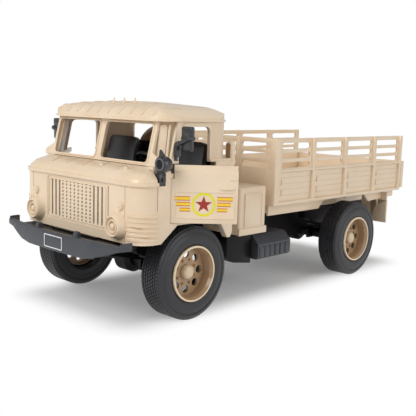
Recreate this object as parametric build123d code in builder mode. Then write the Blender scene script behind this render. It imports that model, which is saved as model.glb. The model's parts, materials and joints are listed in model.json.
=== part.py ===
from build123d import *
from math import cos, pi, radians, sin
import os

# Toy military cargo truck, forward control, 1:16, millimetres.
# +X is forward, +Y is left, +Z is up. Stations along the truck are given
# from the front axle, and sx() turns them into the part's own X.

os.makedirs("parts", exist_ok=True)

# Driving dimensions
wheelbase = 206.0
tyre_radius = 33.0
tyre_outer_y = 72.5
tyre_width = 20.0
front_reach = 66.5
wall = 2.0
fit_gap = 0.1
move_gap = 0.4
overrun = 1.0
bed_overhang = 86.0
bed_rear_x = -wheelbase - bed_overhang
tailgate_gap = 1.6
tailgate_thick = 3.3
tail_rib_rise = 1.6
rear_reach = tailgate_gap + tailgate_thick + tail_rib_rise - bed_rear_x - wheelbase
axle_x = (wheelbase + rear_reach - front_reach) / 2

# Cab stations, widths and heights
cab_half = 70.0
side_profile_in = 3.2
upper_step = 1.8
upper_half = cab_half - side_profile_in - upper_step
upper_corner = 15.0
nose_x = 47.6
nose_radius = 14.0
side_front_x = 33.0
cab_rear_x = -40.0
sill_z = 57.0
belt_z = 95.5
ledge_z = 105.5
door_top_z = 109.4
shoulder_z = 111.2
eaves_z = 137.0

# Bed stations, widths and heights
bed_front_x = -94.0
bed_half = 65.0
bed_bottom_z = 71.2
bed_belt_z = 99.3
bed_top_z = 124.2

# Chassis
chassis_half = 26.0
chassis_top_z = 57.0
chassis_bottom_z = 36.0
shaft_radius = 2.5


def sx(station):
    return axle_x + station


def level(height):
    return Plane(origin=(axle_x, 0, height), x_dir=(1, 0, 0), z_dir=(0, 0, 1))


def side(offset):
    # looks in from the left: local x is X from the front axle, local y is Z
    return Plane(origin=(axle_x, offset, 0), x_dir=(1, 0, 0), z_dir=(0, -1, 0))


def front(station):
    # looks back from the nose: local x is Y, local y is Z
    return Plane(origin=(sx(station), 0, 0), x_dir=(0, 1, 0), z_dir=(1, 0, 0))


def save(builder, label):
    builder.part.label = label
    export_step(builder.part, f"parts/{label}.step")


def spaced(first, pitch, number):
    return [first + pitch * k for k in range(number)]


def box_face(x0, x1, y0, y1):
    # a rectangle in a sketch, by its two corners
    with Locations(((x0 + x1) / 2, (y0 + y1) / 2)):
        Rectangle(abs(x1 - x0), abs(y1 - y0))


def outline(points):
    # a closed face with straight sides, added to the open sketch
    with BuildLine() as path:
        Polyline(*points, close=True)
    make_face(path.edges())


# Chassis: an upside-down channel tray with bearing lugs for both axles
chassis_front_x = 50.0
chassis_rear_x = bed_rear_x + 2 * wall
chassis_wall = 2.4
lug_half = 9.0
lug_drop = 10.0
rear_step_z = 44.0
cross_tube_radius = 2.6
cross_tube_x = -110.0
cross_tube_pitch = 44.0
cross_tube_z = 50.0

deck_bottom_z = chassis_top_z - chassis_wall

for label, outer_y in (("left", chassis_half), ("right", chassis_wall - chassis_half)):
    with BuildPart() as chassis_rail:
        with BuildSketch(side(outer_y)):
            outline([
                (chassis_front_x, deck_bottom_z),
                (chassis_front_x, chassis_bottom_z + lug_drop),
                (lug_half, chassis_bottom_z),
                (lug_half, tyre_radius - lug_drop / 2),
                (-lug_half, tyre_radius - lug_drop / 2),
                (-lug_half, chassis_bottom_z),
                (-wheelbase + lug_half, chassis_bottom_z),
                (-wheelbase + lug_half, tyre_radius - lug_drop / 2),
                (-wheelbase - lug_half, tyre_radius - lug_drop / 2),
                (-wheelbase - lug_half, chassis_bottom_z),
                (chassis_rear_x, rear_step_z),
                (chassis_rear_x, deck_bottom_z),
            ])
            with Locations((0, tyre_radius), (-wheelbase, tyre_radius)):
                Circle(shaft_radius + fit_gap, mode=Mode.SUBTRACT)
        extrude(amount=chassis_wall)
    save(chassis_rail, f"chassis_rail_{label}")

with BuildPart() as chassis_deck:
    with BuildSketch(level(deck_bottom_z)):
        box_face(chassis_rear_x, chassis_front_x, -chassis_half, chassis_half)
    extrude(amount=chassis_wall)
    for end_x in (chassis_front_x - chassis_wall, chassis_rear_x):
        with BuildSketch(front(end_x)):
            box_face(-chassis_half + chassis_wall, chassis_half - chassis_wall,
                     chassis_bottom_z + lug_drop, deck_bottom_z)
        extrude(amount=chassis_wall)
save(chassis_deck, "chassis_deck")

with BuildPart() as cross_tubes:
    with BuildSketch(side(chassis_half - chassis_wall)):
        with Locations((cross_tube_x, cross_tube_z), (cross_tube_x - cross_tube_pitch, cross_tube_z)):
            Circle(cross_tube_radius)
    extrude(amount=2 * (chassis_half - chassis_wall))
save(cross_tubes, "cross_tubes")

# Axle housings: tube, round differential bowl, and a bore for the wheel pin
housing_radius = 5.0
housing_outer_y = 48.0
bowl_radius = 10.5
bowl_half = 9.0
bowl_offset = 3.0


def axle_housing(label, station):
    with BuildPart() as housing:
        with BuildSketch(side(housing_outer_y)):
            with Locations((station, tyre_radius)):
                Circle(housing_radius)
        extrude(amount=housing_outer_y - chassis_half)
        with BuildSketch(side(-chassis_half)):
            with Locations((station, tyre_radius)):
                Circle(housing_radius)
        extrude(amount=housing_outer_y - chassis_half)
        inner_y = chassis_half - chassis_wall
        with BuildSketch(side(inner_y)):
            with Locations((station, tyre_radius)):
                Circle(housing_radius)
        extrude(amount=2 * inner_y)
        with BuildSketch(side(bowl_half + bowl_offset)):
            with Locations((station, tyre_radius)):
                Circle(bowl_radius)
        extrude(amount=2 * bowl_half)
        bowl_rims = housing.edges().filter_by(GeomType.CIRCLE).filter_by(
            lambda edge: abs(edge.radius - bowl_radius) < fit_gap)
        chamfer(bowl_rims, bowl_half / 3)
        with BuildSketch(side(housing_outer_y)):
            with Locations((station, tyre_radius)):
                Circle(shaft_radius + fit_gap)
        extrude(amount=2 * housing_outer_y, mode=Mode.SUBTRACT)
    save(housing, label)


axle_housing("front_axle_housing", 0)
axle_housing("rear_axle_housing", -wheelbase)

# Leaf springs: a bowed pack each side that sits on the housing
spring_y = 38.0
spring_width = 7.0
spring_half_length = 34.0
spring_leaf = 1.6
spring_leaves = 3
spring_rise = 10.0
spring_step = 8.0
hanger_half = 3.0
hanger_z = 55.0


def leaf_springs(label, station):
    seat_z = tyre_radius + housing_radius
    with BuildPart() as springs:
        for centre_y in (spring_y, -spring_y):
            for leaf in range(spring_leaves):
                reach = spring_half_length - spring_step * (spring_leaves - 1 - leaf)
                low = seat_z + spring_leaf * leaf
                bow = spring_rise * (reach / spring_half_length) ** 2
                with BuildSketch(side(centre_y + spring_width / 2)):
                    with BuildLine():
                        ThreePointArc((station - reach, low + bow), (station, low),
                                      (station + reach, low + bow))
                        Line((station + reach, low + bow),
                             (station + reach, low + bow + spring_leaf))
                        ThreePointArc((station + reach, low + bow + spring_leaf),
                                      (station, low + spring_leaf),
                                      (station - reach, low + bow + spring_leaf))
                        Line((station - reach, low + bow + spring_leaf),
                             (station - reach, low + bow))
                    make_face()
                extrude(amount=spring_width)
            eye_z = seat_z + spring_leaf * (spring_leaves - 1) + spring_rise
            with BuildSketch(side(centre_y + spring_width / 2)):
                for end in (-1, 1):
                    box_face(station + end * spring_half_length - hanger_half,
                             station + end * spring_half_length + hanger_half,
                             eye_z, chassis_top_z - fit_gap)
            extrude(amount=spring_width)
            with BuildSketch(level(hanger_z)):
                near_y = chassis_half if centre_y > 0 else -chassis_half
                for end in (-1, 1):
                    box_face(station + end * spring_half_length - hanger_half,
                             station + end * spring_half_length + hanger_half,
                             near_y, centre_y)
            extrude(amount=chassis_top_z - fit_gap - hanger_z)
    save(springs, label)


leaf_springs("front_springs", 0)
leaf_springs("rear_springs", -wheelbase)

# Drive line: gearbox block hung from the tray, propeller shaft and silencer
gearbox_front_x = -52.0
gearbox_rear_x = -92.0
gearbox_half = 13.0
gearbox_bottom_z = 32.0
prop_radius = 2.2
prop_z = 38.0
silencer_length = 30.0
silencer_x = gearbox_rear_x - 2 * wall - silencer_length
silencer_radius = 6.5
silencer_y = 13.6
silencer_z = 39.0

with BuildPart() as gearbox:
    with BuildSketch(side(gearbox_half)):
        outline([
            (gearbox_front_x, chassis_top_z - chassis_wall),
            (gearbox_front_x, gearbox_bottom_z + lug_drop),
            (gearbox_front_x - lug_drop, gearbox_bottom_z),
            (gearbox_rear_x + lug_drop, gearbox_bottom_z),
            (gearbox_rear_x, gearbox_bottom_z + lug_drop / 2),
            (gearbox_rear_x, chassis_top_z - chassis_wall),
        ])
    extrude(amount=2 * gearbox_half)
save(gearbox, "gearbox")

prop_end_x = -wheelbase + bowl_radius + fit_gap

with BuildPart() as propeller_shaft:
    with BuildSketch(front(prop_end_x)):
        with Locations((0, prop_z)):
            Circle(prop_radius)
    extrude(amount=gearbox_rear_x - fit_gap - prop_end_x)
save(propeller_shaft, "propeller_shaft")

with BuildPart() as silencer:
    with BuildSketch(front(silencer_x)):
        with Locations((silencer_y, silencer_z)):
            Circle(silencer_radius)
    extrude(amount=silencer_length)
    chamfer(silencer.edges().filter_by(GeomType.CIRCLE), silencer_radius / 4)
    with BuildSketch(front(silencer_x + silencer_length / 3)):
        box_face(silencer_y, chassis_half - chassis_wall, silencer_z, silencer_z + silencer_radius)
    extrude(amount=silencer_length / 3)
save(silencer, "silencer")

# Front bumper: a bowed deep plate with swept ends, two pulling lugs, two arms
bumper_half = 66.0
bumper_tip_half = 70.5
bumper_tip_x = 54.5
bumper_bow = 4.5
bumper_thick = 3.0
bumper_top_z = 58.8
bumper_bottom_z = 45.6
bumper_end_low_z = 51.0
tip_hook_z = 60.5
tip_hook_length = 4.0
towlug_y = 23.0
towlug_width = 3.6
towlug_rise = 4.4
towlug_radius = 3.0
arm_y = 20.0
arm_width = 5.0
arm_z = 46.5
arm_height = 7.0

with BuildPart() as bumper:
    with BuildSketch(level(bumper_bottom_z)):
        with BuildLine():
            ThreePointArc((front_reach - bumper_bow, -bumper_half), (front_reach, 0),
                          (front_reach - bumper_bow, bumper_half))
            Line((front_reach - bumper_bow, bumper_half), (bumper_tip_x, bumper_tip_half))
            Line((bumper_tip_x, bumper_tip_half),
                 (bumper_tip_x - bumper_thick, bumper_tip_half - bumper_thick))
            Line((bumper_tip_x - bumper_thick, bumper_tip_half - bumper_thick),
                 (front_reach - bumper_bow - bumper_thick, bumper_half - bumper_thick))
            ThreePointArc((front_reach - bumper_bow - bumper_thick, bumper_half - bumper_thick),
                          (front_reach - bumper_thick, 0),
                          (front_reach - bumper_bow - bumper_thick, -bumper_half + bumper_thick))
            Line((front_reach - bumper_bow - bumper_thick, -bumper_half + bumper_thick),
                 (bumper_tip_x - bumper_thick, -bumper_tip_half + bumper_thick))
            Line((bumper_tip_x - bumper_thick, -bumper_tip_half + bumper_thick),
                 (bumper_tip_x, -bumper_tip_half))
            Line((bumper_tip_x, -bumper_tip_half), (front_reach - bumper_bow, -bumper_half))
        make_face()
    extrude(amount=tip_hook_z - bumper_bottom_z)
    with BuildSketch(front(front_reach)):
        outline([
            (-bumper_half / 2, bumper_bottom_z),
            (-bumper_tip_half, bumper_end_low_z),
            (-bumper_tip_half, tip_hook_z - tip_hook_length / 2),
            (-bumper_tip_half + tip_hook_length / 2, tip_hook_z),
            (-bumper_tip_half + tip_hook_length, tip_hook_z),
            (-bumper_tip_half + tip_hook_length, bumper_top_z),
            (bumper_tip_half - tip_hook_length, bumper_top_z),
            (bumper_tip_half - tip_hook_length, tip_hook_z),
            (bumper_tip_half - tip_hook_length / 2, tip_hook_z),
            (bumper_tip_half, tip_hook_z - tip_hook_length / 2),
            (bumper_tip_half, bumper_end_low_z),
            (bumper_half / 2, bumper_bottom_z),
        ])
    extrude(amount=-front_reach, mode=Mode.INTERSECT)
    for centre_y in (towlug_y, -towlug_y):
        lug_x = front_reach - bumper_thick
        with BuildSketch(side(centre_y + towlug_width / 2)):
            box_face(lug_x - towlug_radius, lug_x + towlug_radius / 2,
                     bumper_top_z - bumper_thick, bumper_top_z + towlug_rise - towlug_radius)
            with Locations((lug_x - towlug_radius / 4, bumper_top_z + towlug_rise - towlug_radius)):
                Circle(towlug_radius * 3 / 4)
        extrude(amount=towlug_width)
    for centre_y in (arm_y, -arm_y):
        with BuildSketch(front(chassis_front_x)):
            box_face(centre_y - arm_width / 2, centre_y + arm_width / 2,
                     arm_z, arm_z + arm_height)
        extrude(amount=front_reach - bumper_thick - chassis_front_x - fit_gap)
save(bumper, "bumper")

# Valance: the dark tray between the bumper and the cab's lower lip
valance_rear_x = 42.0
valance_half = 60.0
valance_z = 53.6
valance_thick = 2.2

with BuildPart() as bumper_valance:
    with BuildSketch(level(valance_z)):
        with BuildLine():
            ThreePointArc((front_reach - bumper_bow - bumper_thick - fit_gap, -valance_half),
                          (front_reach - bumper_thick - fit_gap, 0),
                          (front_reach - bumper_bow - bumper_thick - fit_gap, valance_half))
            Polyline((front_reach - bumper_bow - bumper_thick - fit_gap, valance_half),
                     (valance_rear_x, valance_half),
                     (valance_rear_x, -valance_half),
                     (front_reach - bumper_bow - bumper_thick - fit_gap, -valance_half))
        make_face()
    extrude(amount=valance_thick)
    with BuildSketch(level(valance_z)):
        box_face(valance_rear_x - overrun, chassis_front_x + fit_gap,
                 -chassis_half - fit_gap, chassis_half + fit_gap)
        for centre_y in (towlug_y, -towlug_y):
            box_face(front_reach - bumper_thick - towlug_radius - fit_gap, front_reach,
                     centre_y - towlug_width, centre_y + towlug_width)
    extrude(amount=valance_thick, mode=Mode.SUBTRACT)
save(bumper_valance, "bumper_valance")

# Nose of the cab: a flat face with big rounded corners and louvre ribs
grille_half = 35.2
grille_bottom_z = 63.6
grille_top_z = 94.0
grille_corner = 3.0
louvre_number = 6
louvre_pitch = 3.1
louvre_bottom_z = 59.8
louvre_height = 1.5
louvre_rise = 0.7
louvre_front_y = 56.5
lamp_y = 47.6
lamp_z = 68.3
lamp_length = 5.8
lamp_radius = 7.8
lamp_shares = [
    # share of the length in front of the nose, share of the radius
    (0, 0.9),
    (0.2, 1),
    (0.56, 0.98),
    (0.88, 0.86),
    (1, 0.79),
    (1, 0.68),
    (0.86, 0.64),
    (0.86, 0.54),
    (0.97, 0.49),
    (0.97, 0.4),
    (0.76, 0.35),
    (0.73, 0.26),
    (0.9, 0.15),
    (0.95, 0),
]
turn_y = 50.0
turn_z = 81.8
turn_radius = 3.2
turn_length = 1.8


def nose_plan(x_front, half, radius, x_back):
    # the rounded plan of the nose, as a closed face
    with BuildLine() as path:
        FilletPolyline((x_back, -half), (x_front, -half), (x_front, half), (x_back, half),
                       radius=radius)
        Line((x_back, half), (x_back, -half))
    make_face(path.edges())


with BuildPart() as cab_front:
    with BuildSketch(level(sill_z)):
        nose_plan(nose_x, cab_half, nose_radius, side_front_x)
    extrude(amount=belt_z - sill_z)
    for height in spaced(louvre_bottom_z, louvre_pitch, louvre_number):
        with BuildSketch(level(height)):
            nose_plan(nose_x + louvre_rise, cab_half + louvre_rise,
                      nose_radius + louvre_rise, side_front_x)
            Rectangle(2 * (nose_x + nose_radius), 2 * louvre_front_y, mode=Mode.SUBTRACT)
        extrude(amount=louvre_height)
    with BuildSketch(level(sill_z)):
        nose_plan(nose_x - wall, cab_half - wall, nose_radius - wall, side_front_x - overrun)
    extrude(amount=belt_z - sill_z, mode=Mode.SUBTRACT)
    with BuildSketch(front(nose_x + overrun)):
        with Locations((0, (grille_bottom_z + grille_top_z) / 2)):
            RectangleRounded(2 * grille_half, grille_top_z - grille_bottom_z, grille_corner)
    extrude(amount=-nose_radius, mode=Mode.SUBTRACT)
save(cab_front, "cab_front")

# Grille: its panel fills the nose's opening, with slots cut right through
grille_thick = 1.6
slot_height = 27.5
slot_width = 1.9
slot_mid_z = 79.0
slot_pitch = 4.6
slot_first_y = 29.7
wide_slots = 3
mesh_columns = 8
mesh_rows = 11
mesh_pitch_y = 4.66
mesh_pitch_z = 2.6
mesh_hole_width = 1.7
mesh_hole_height = 1.5
frame_rib = 1.0
frame_rise = 0.5

with BuildPart() as grille:
    with BuildSketch(front(nose_x - wall)):
        with Locations((0, (grille_bottom_z + grille_top_z) / 2)):
            RectangleRounded(2 * (grille_half - fit_gap), grille_top_z - grille_bottom_z - 2 * fit_gap,
                             grille_corner)
        for turned in (-1, 1):
            for place in spaced(slot_first_y, -slot_pitch, wide_slots):
                with Locations((turned * place, slot_mid_z)):
                    SlotOverall(slot_height, slot_width, rotation=90, mode=Mode.SUBTRACT)
        with Locations((0, slot_mid_z)):
            with GridLocations(mesh_pitch_y, mesh_pitch_z, mesh_columns, mesh_rows):
                Rectangle(mesh_hole_width, mesh_hole_height, mode=Mode.SUBTRACT)
    extrude(amount=grille_thick)
    with BuildSketch(front(nose_x - wall + grille_thick)):
        with Locations((0, (grille_bottom_z + grille_top_z) / 2)):
            RectangleRounded(2 * (grille_half - frame_rib), grille_top_z - grille_bottom_z - 2 * frame_rib,
                             grille_corner)
            RectangleRounded(2 * (grille_half - 2 * frame_rib),
                             grille_top_z - grille_bottom_z - 4 * frame_rib,
                             grille_corner - frame_rib, mode=Mode.SUBTRACT)
    extrude(amount=frame_rise)
save(grille, "grille")

# Lamps: turned bezels with ring grooves round a domed lens
with BuildPart() as headlamps:
    for turned in (-1, 1):
        centre = (sx(nose_x), turned * lamp_y, lamp_z)
        with BuildSketch(Plane(origin=centre, x_dir=(1, 0, 0), z_dir=(0, -1, 0))):
            outline([(0, 0)] + [(lamp_length * along, lamp_radius * across)
                                for along, across in lamp_shares])
        revolve(axis=Axis(centre, (1, 0, 0)))
save(headlamps, "headlamps")

# Cowl: the rolled shoulder over the nose that slopes up to the windscreen
cowl_back_x = 26.4
cowl_roll_z = 100.0
cowl_shelf_z = 103.6
cowl_top_z = 107.0
cowl_roll_x = 46.6
cowl_shelf_x = 42.6
cowl_top_x = 33.0
cowl_roll_half = 69.2
cowl_shelf_half = 66.0
cowl_top_half = 58.5
mould_rise = 1.3
mould_height = 2.4
cowl_rib_pitch = 19.0
cowl_rib_number = 5
cowl_rib_width = 1.2
cowl_rib_height = 0.7
niche_inner_y = 61.0
niche_front_x = side_front_x
nozzle_radius = 1.4
nozzle_height = 1.6
nozzle_places = [
    # station, y of the washer nozzles on the cowl's shelf
    (38.6, 18.0),
    (38.6, 44.0),
]

cowl_sections = [
    # height, front station, half width
    (belt_z, nose_x, cab_half),
    (cowl_roll_z, cowl_roll_x, cowl_roll_half),
    (cowl_shelf_z, cowl_shelf_x, cowl_shelf_half),
    (cowl_top_z, cowl_top_x, cowl_top_half),
]

with BuildPart() as cowl_hollow:
    for height, station, half in cowl_sections:
        inner_z = height - wall if height > belt_z else belt_z - overrun
        with BuildSketch(level(inner_z)):
            nose_plan(station - wall, half - wall,
                      min(nose_radius - wall, (station - wall - cowl_back_x) * 2 / 3),
                      cowl_back_x - overrun)
    loft(ruled=True)
    with BuildSketch(level(belt_z - overrun)):
        for turned in (-1, 1):
            box_face(cowl_back_x - 2 * overrun, niche_front_x + wall,
                     turned * (niche_inner_y - wall), turned * (cab_half + overrun))
    extrude(amount=cowl_top_z, mode=Mode.SUBTRACT)

with BuildPart() as cowl:
    for height, station, half in cowl_sections:
        with BuildSketch(level(height)):
            nose_plan(station, half, min(nose_radius, (station - cowl_back_x) * 2 / 3), cowl_back_x)
    loft(ruled=True)
    # belt moulding round the nose
    with BuildSketch(level(belt_z)):
        nose_plan(nose_x + mould_rise, cab_half + mould_rise, nose_radius + mould_rise, niche_front_x)
    extrude(amount=mould_height)
    # fore-and-aft ribs and washer nozzles on the shelf
    shelf_slope = (cowl_top_z - cowl_shelf_z) / (cowl_shelf_x - cowl_top_x)
    for centre_y in spaced(-cowl_rib_pitch * (cowl_rib_number - 1) / 2, cowl_rib_pitch, cowl_rib_number):
        with BuildSketch(side(centre_y + cowl_rib_width / 2)):
            outline([
                (cowl_shelf_x, cowl_shelf_z),
                (cowl_shelf_x, cowl_shelf_z + cowl_rib_height),
                (cowl_top_x, cowl_top_z + cowl_rib_height),
                (cowl_top_x, cowl_shelf_z),
            ])
        extrude(amount=cowl_rib_width)
    for station, centre_y in nozzle_places:
        with BuildSketch(level(cowl_shelf_z)):
            with Locations((station, centre_y)):
                Circle(nozzle_radius)
        extrude(amount=(cowl_shelf_x - station) * shelf_slope + nozzle_height)
    # niches either side, where the searchlight stands
    with BuildSketch(level(belt_z - overrun)):
        for turned in (-1, 1):
            box_face(cowl_back_x - overrun, niche_front_x,
                     turned * niche_inner_y, turned * (cab_half + 2 * mould_rise))
    extrude(amount=cowl_top_z, mode=Mode.SUBTRACT)
    add(cowl_hollow.part, mode=Mode.SUBTRACT)
save(cowl, "cowl")

# Windscreen frame: two open panes on a raked plane, with feet at the shoulders
screen_foot_x = 29.5
screen_head_x = 22.5
screen_thick = 2.4
screen_rake = (screen_foot_x - screen_head_x) / (eaves_z - cowl_top_z)
screen_foot_z = cowl_top_z + screen_thick * screen_rake
screen_inset = 8.0
screen_half = upper_half - screen_inset
pane_side = 3.0
pane_half = screen_half - pane_side
pane_post = 3.0
pane_foot = 1.6
pane_head = 1.8
pane_corner = 3.2
foot_half = cab_half - side_profile_in - 2 * fit_gap
foot_rise = 9.0
foot_step = 4.0
screen_rise_z = eaves_z - screen_foot_z
screen_length = (screen_rise_z ** 2 + (screen_foot_x - screen_head_x) ** 2) ** 0.5
screen_plane = Plane(origin=(sx(screen_foot_x), 0, screen_foot_z), x_dir=(0, 1, 0),
                     z_dir=(screen_rise_z, 0, screen_foot_x - screen_head_x))
screen_run = screen_thick * screen_length / screen_rise_z


def screen_back_x(height):
    # station just behind the raked frame at a height
    lean = (height - screen_foot_z) * (screen_foot_x - screen_head_x) / screen_rise_z
    return screen_foot_x - lean - screen_run - fit_gap


with BuildPart() as windscreen_frame:
    with BuildSketch(screen_plane):
        outline([
            (-screen_half, screen_length),
            (screen_half, screen_length),
            (screen_half, foot_rise),
            (foot_half, foot_step),
            (foot_half, 0),
            (-foot_half, 0),
            (-foot_half, foot_step),
            (-screen_half, foot_rise),
        ])
        pane_low = pane_foot
        pane_high = screen_length - pane_head
        for turned in (-1, 1):
            with Locations((turned * (pane_half + pane_post) / 2, (pane_low + pane_high) / 2)):
                RectangleRounded(pane_half - pane_post, pane_high - pane_low, pane_corner,
                                 mode=Mode.SUBTRACT)
    extrude(amount=-screen_thick)
save(windscreen_frame, "windscreen_frame")

# Cab sides: the lower wall with its wheel arch, open above for the door
door_front_x = 21.4
door_length = 45.4
door_bottom_z = 70.4
arch_front_x = 29.4
arch_front_top_x = 15.0
arch_rear_top_x = -26.0
arch_rear_x = -35.0
arch_top_z = 68.2
foot_z = 54.2
foot_back_z = 57.6
flange_depth = 5.0
flange_thick = 1.4
door_rear_x = door_front_x - door_length
hinge_radius = wall / 2
hinge_x = door_front_x - hinge_radius
hinge_y = cab_half - hinge_radius
pin_radius = 0.7
pin_gap = 0.15
pin_length = 1.4
ear_bottom_z = 100.6
ear_top_z = 103.4
ear_notch = 1.9

with BuildPart() as cab_side_left:
    # lower wall, cut by the arch and by the door's aperture
    with BuildSketch(side(cab_half)):
        outline([
            (side_front_x - fit_gap, sill_z),
            (arch_front_x, sill_z),
            (arch_front_top_x, arch_top_z),
            (arch_rear_top_x, arch_top_z),
            (arch_rear_x, foot_z),
            (cab_rear_x + wall, foot_z),
            (cab_rear_x, foot_back_z),
            (cab_rear_x, ledge_z),
            (door_rear_x - move_gap, ledge_z),
            (door_rear_x - move_gap, door_bottom_z - move_gap),
            (door_front_x + move_gap, door_bottom_z - move_gap),
            (door_front_x + move_gap, belt_z),
            (side_front_x - fit_gap, belt_z),
        ])
    extrude(amount=wall)
    # arch flange turned inwards
    with BuildSketch(side(cab_half)):
        outline([
            (arch_front_x, sill_z),
            (arch_front_top_x, arch_top_z),
            (arch_rear_top_x, arch_top_z),
            (arch_rear_x, foot_z),
            (arch_rear_x - flange_thick, foot_z),
            (arch_rear_top_x - flange_thick, arch_top_z + flange_thick),
            (arch_front_top_x + flange_thick, arch_top_z + flange_thick),
            (arch_front_x + flange_thick, sill_z),
        ])
    extrude(amount=flange_depth)
    # shoulders in front of the door and behind it, stepped in above the ledge
    front_shoulder = (door_front_x + move_gap, cowl_back_x - fit_gap)
    rear_shoulder = (cab_rear_x, door_rear_x - move_gap)
    for x0, x1 in (front_shoulder, rear_shoulder):
        with BuildSketch(front(x0)):
            outline([
                (cab_half - wall, belt_z - wall),
                (cab_half, belt_z - wall),
                (cab_half, ledge_z - wall / 2),
                (cab_half - side_profile_in, ledge_z + wall / 2),
                (cab_half - side_profile_in, door_top_z),
                (cab_half - side_profile_in - wall, door_top_z),
                (cab_half - side_profile_in - wall, ledge_z),
                (cab_half - wall, ledge_z - wall),
            ])
        extrude(amount=x1 - x0)
    # hinge seats: a hole in the sill and an ear on the front jamb
    with BuildSketch(side(cab_half)):
        box_face(hinge_x - hinge_radius - fit_gap, door_front_x + move_gap + fit_gap,
                 ear_bottom_z, ear_top_z)
    extrude(amount=wall)
    with BuildSketch(level(arch_top_z)):
        with Locations((hinge_x, hinge_y)):
            Circle(pin_radius + pin_gap)
    extrude(amount=ear_top_z - arch_top_z, mode=Mode.SUBTRACT)
    # shelf of the niche that carries the searchlight
    with BuildSketch(level(belt_z)):
        box_face(cowl_back_x - fit_gap, side_front_x - fit_gap, cab_half - 4 * wall, cab_half)
    extrude(amount=-wall / 2)
save(cab_side_left, "cab_side_left")

with BuildPart() as cab_side_right:
    mirror(cab_side_left.part, about=Plane.XZ)
save(cab_side_right, "cab_side_right")

# Upper side walls: raked front post, open side window, rounded rear corner
window_front_x = 12.0
window_rear_x = -18.6
window_top_z = 133.6
window_corner = 4.0
window_rim = 2.4
window_rim_rise = 0.8
post_foot_x = 18.4
panel_inset_y = 2.4
panel_front_y = screen_half - panel_inset_y
panel_depth = 1.6
shelf_inner_y = screen_half - 2 * wall
shelf_front_x = screen_back_x(shoulder_z)
upper_height = eaves_z - door_top_z
post_rake = (screen_foot_x - screen_head_x) / screen_rise_z
upper_rear_x = cab_rear_x - fit_gap - wall
corner_centre = (upper_rear_x + upper_corner, upper_half - upper_corner)


def side_window(grow, foot):
    # the window's opening, leaning with the front post and open at the foot
    rear_x = window_rear_x - grow
    head_x = window_front_x + grow - post_rake * (window_top_z - door_top_z)
    with BuildLine() as path:
        FilletPolyline(
            (rear_x, foot),
            (rear_x, window_top_z + grow),
            (head_x, window_top_z + grow),
            (window_front_x + grow - post_rake * (foot - door_top_z), foot),
            radius=window_corner + grow)
        Line((window_front_x + grow - post_rake * (foot - door_top_z), foot), (rear_x, foot))
    make_face(path.edges())


with BuildPart() as cab_upper_left:
    # shelf over the shoulders, hollow inside the rounded corner
    with BuildSketch(level(door_top_z)):
        outline([
            (shelf_front_x, shelf_inner_y),
            (shelf_front_x, cab_half - side_profile_in),
            (window_front_x, cab_half - side_profile_in),
            (window_front_x, upper_half - wall),
            (post_foot_x - wall, upper_half - 2 * wall),
        ])
        box_face(cab_rear_x, window_rear_x, corner_centre[1], cab_half - side_profile_in)
        with Locations(corner_centre):
            Circle(upper_corner - wall, mode=Mode.SUBTRACT)
        with Locations(((corner_centre[0] + window_rear_x) / 2, upper_half - wall - upper_corner)):
            Rectangle(window_rear_x - corner_centre[0], 2 * upper_corner, mode=Mode.SUBTRACT)
    extrude(amount=shoulder_z - door_top_z)
    # the flat wall with its window
    with BuildSketch(side(upper_half)):
        outline([
            (post_foot_x, door_top_z),
            (post_foot_x - post_rake * upper_height, eaves_z),
            (corner_centre[0], eaves_z),
            (corner_centre[0], door_top_z),
        ])
    extrude(amount=wall)
    with BuildSketch(side(upper_half + window_rim_rise)):
        side_window(window_rim, shoulder_z)
    extrude(amount=window_rim_rise)
    with BuildSketch(side(upper_half + window_rim_rise)):
        side_window(0, door_top_z - overrun)
    extrude(amount=window_rim_rise + 2 * wall, mode=Mode.SUBTRACT)
    # the rounded rear corner
    with BuildSketch(level(door_top_z)):
        with Locations(corner_centre):
            Circle(upper_corner)
            Circle(upper_corner - wall, mode=Mode.SUBTRACT)
        with Locations((corner_centre[0] + upper_corner, corner_centre[1] - upper_corner)):
            Rectangle(2 * upper_corner, 4 * upper_corner, mode=Mode.SUBTRACT)
        with Locations((corner_centre[0], corner_centre[1] - upper_corner)):
            Rectangle(4 * upper_corner, 2 * upper_corner, mode=Mode.SUBTRACT)
    extrude(amount=upper_height)
    # the sunk panel between the windscreen and the post, leaning with both
    with BuildSketch(level(door_top_z)):
        outline([
            (screen_back_x(door_top_z), panel_front_y),
            (post_foot_x - wall, upper_half - wall),
            (post_foot_x - 2 * wall, upper_half - wall),
            (screen_back_x(door_top_z) - wall, panel_front_y - panel_depth),
            (screen_back_x(door_top_z), panel_front_y - panel_depth),
        ])
    extrude(amount=upper_height * (1 + post_rake ** 2) ** 0.5, dir=(-post_rake, 0, 1))
save(cab_upper_left, "cab_upper_left")

with BuildPart() as cab_upper_right:
    mirror(cab_upper_left.part, about=Plane.XZ)
save(cab_upper_right, "cab_upper_right")

# Cab rear wall with a wide open window
rear_window_inset = 21.0
rear_window_half = upper_half - rear_window_inset
rear_window_bottom_z = 112.0
rear_window_top_z = 134.0
rear_window_corner = 5.0
rear_wall_bottom_z = 59.0

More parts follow.
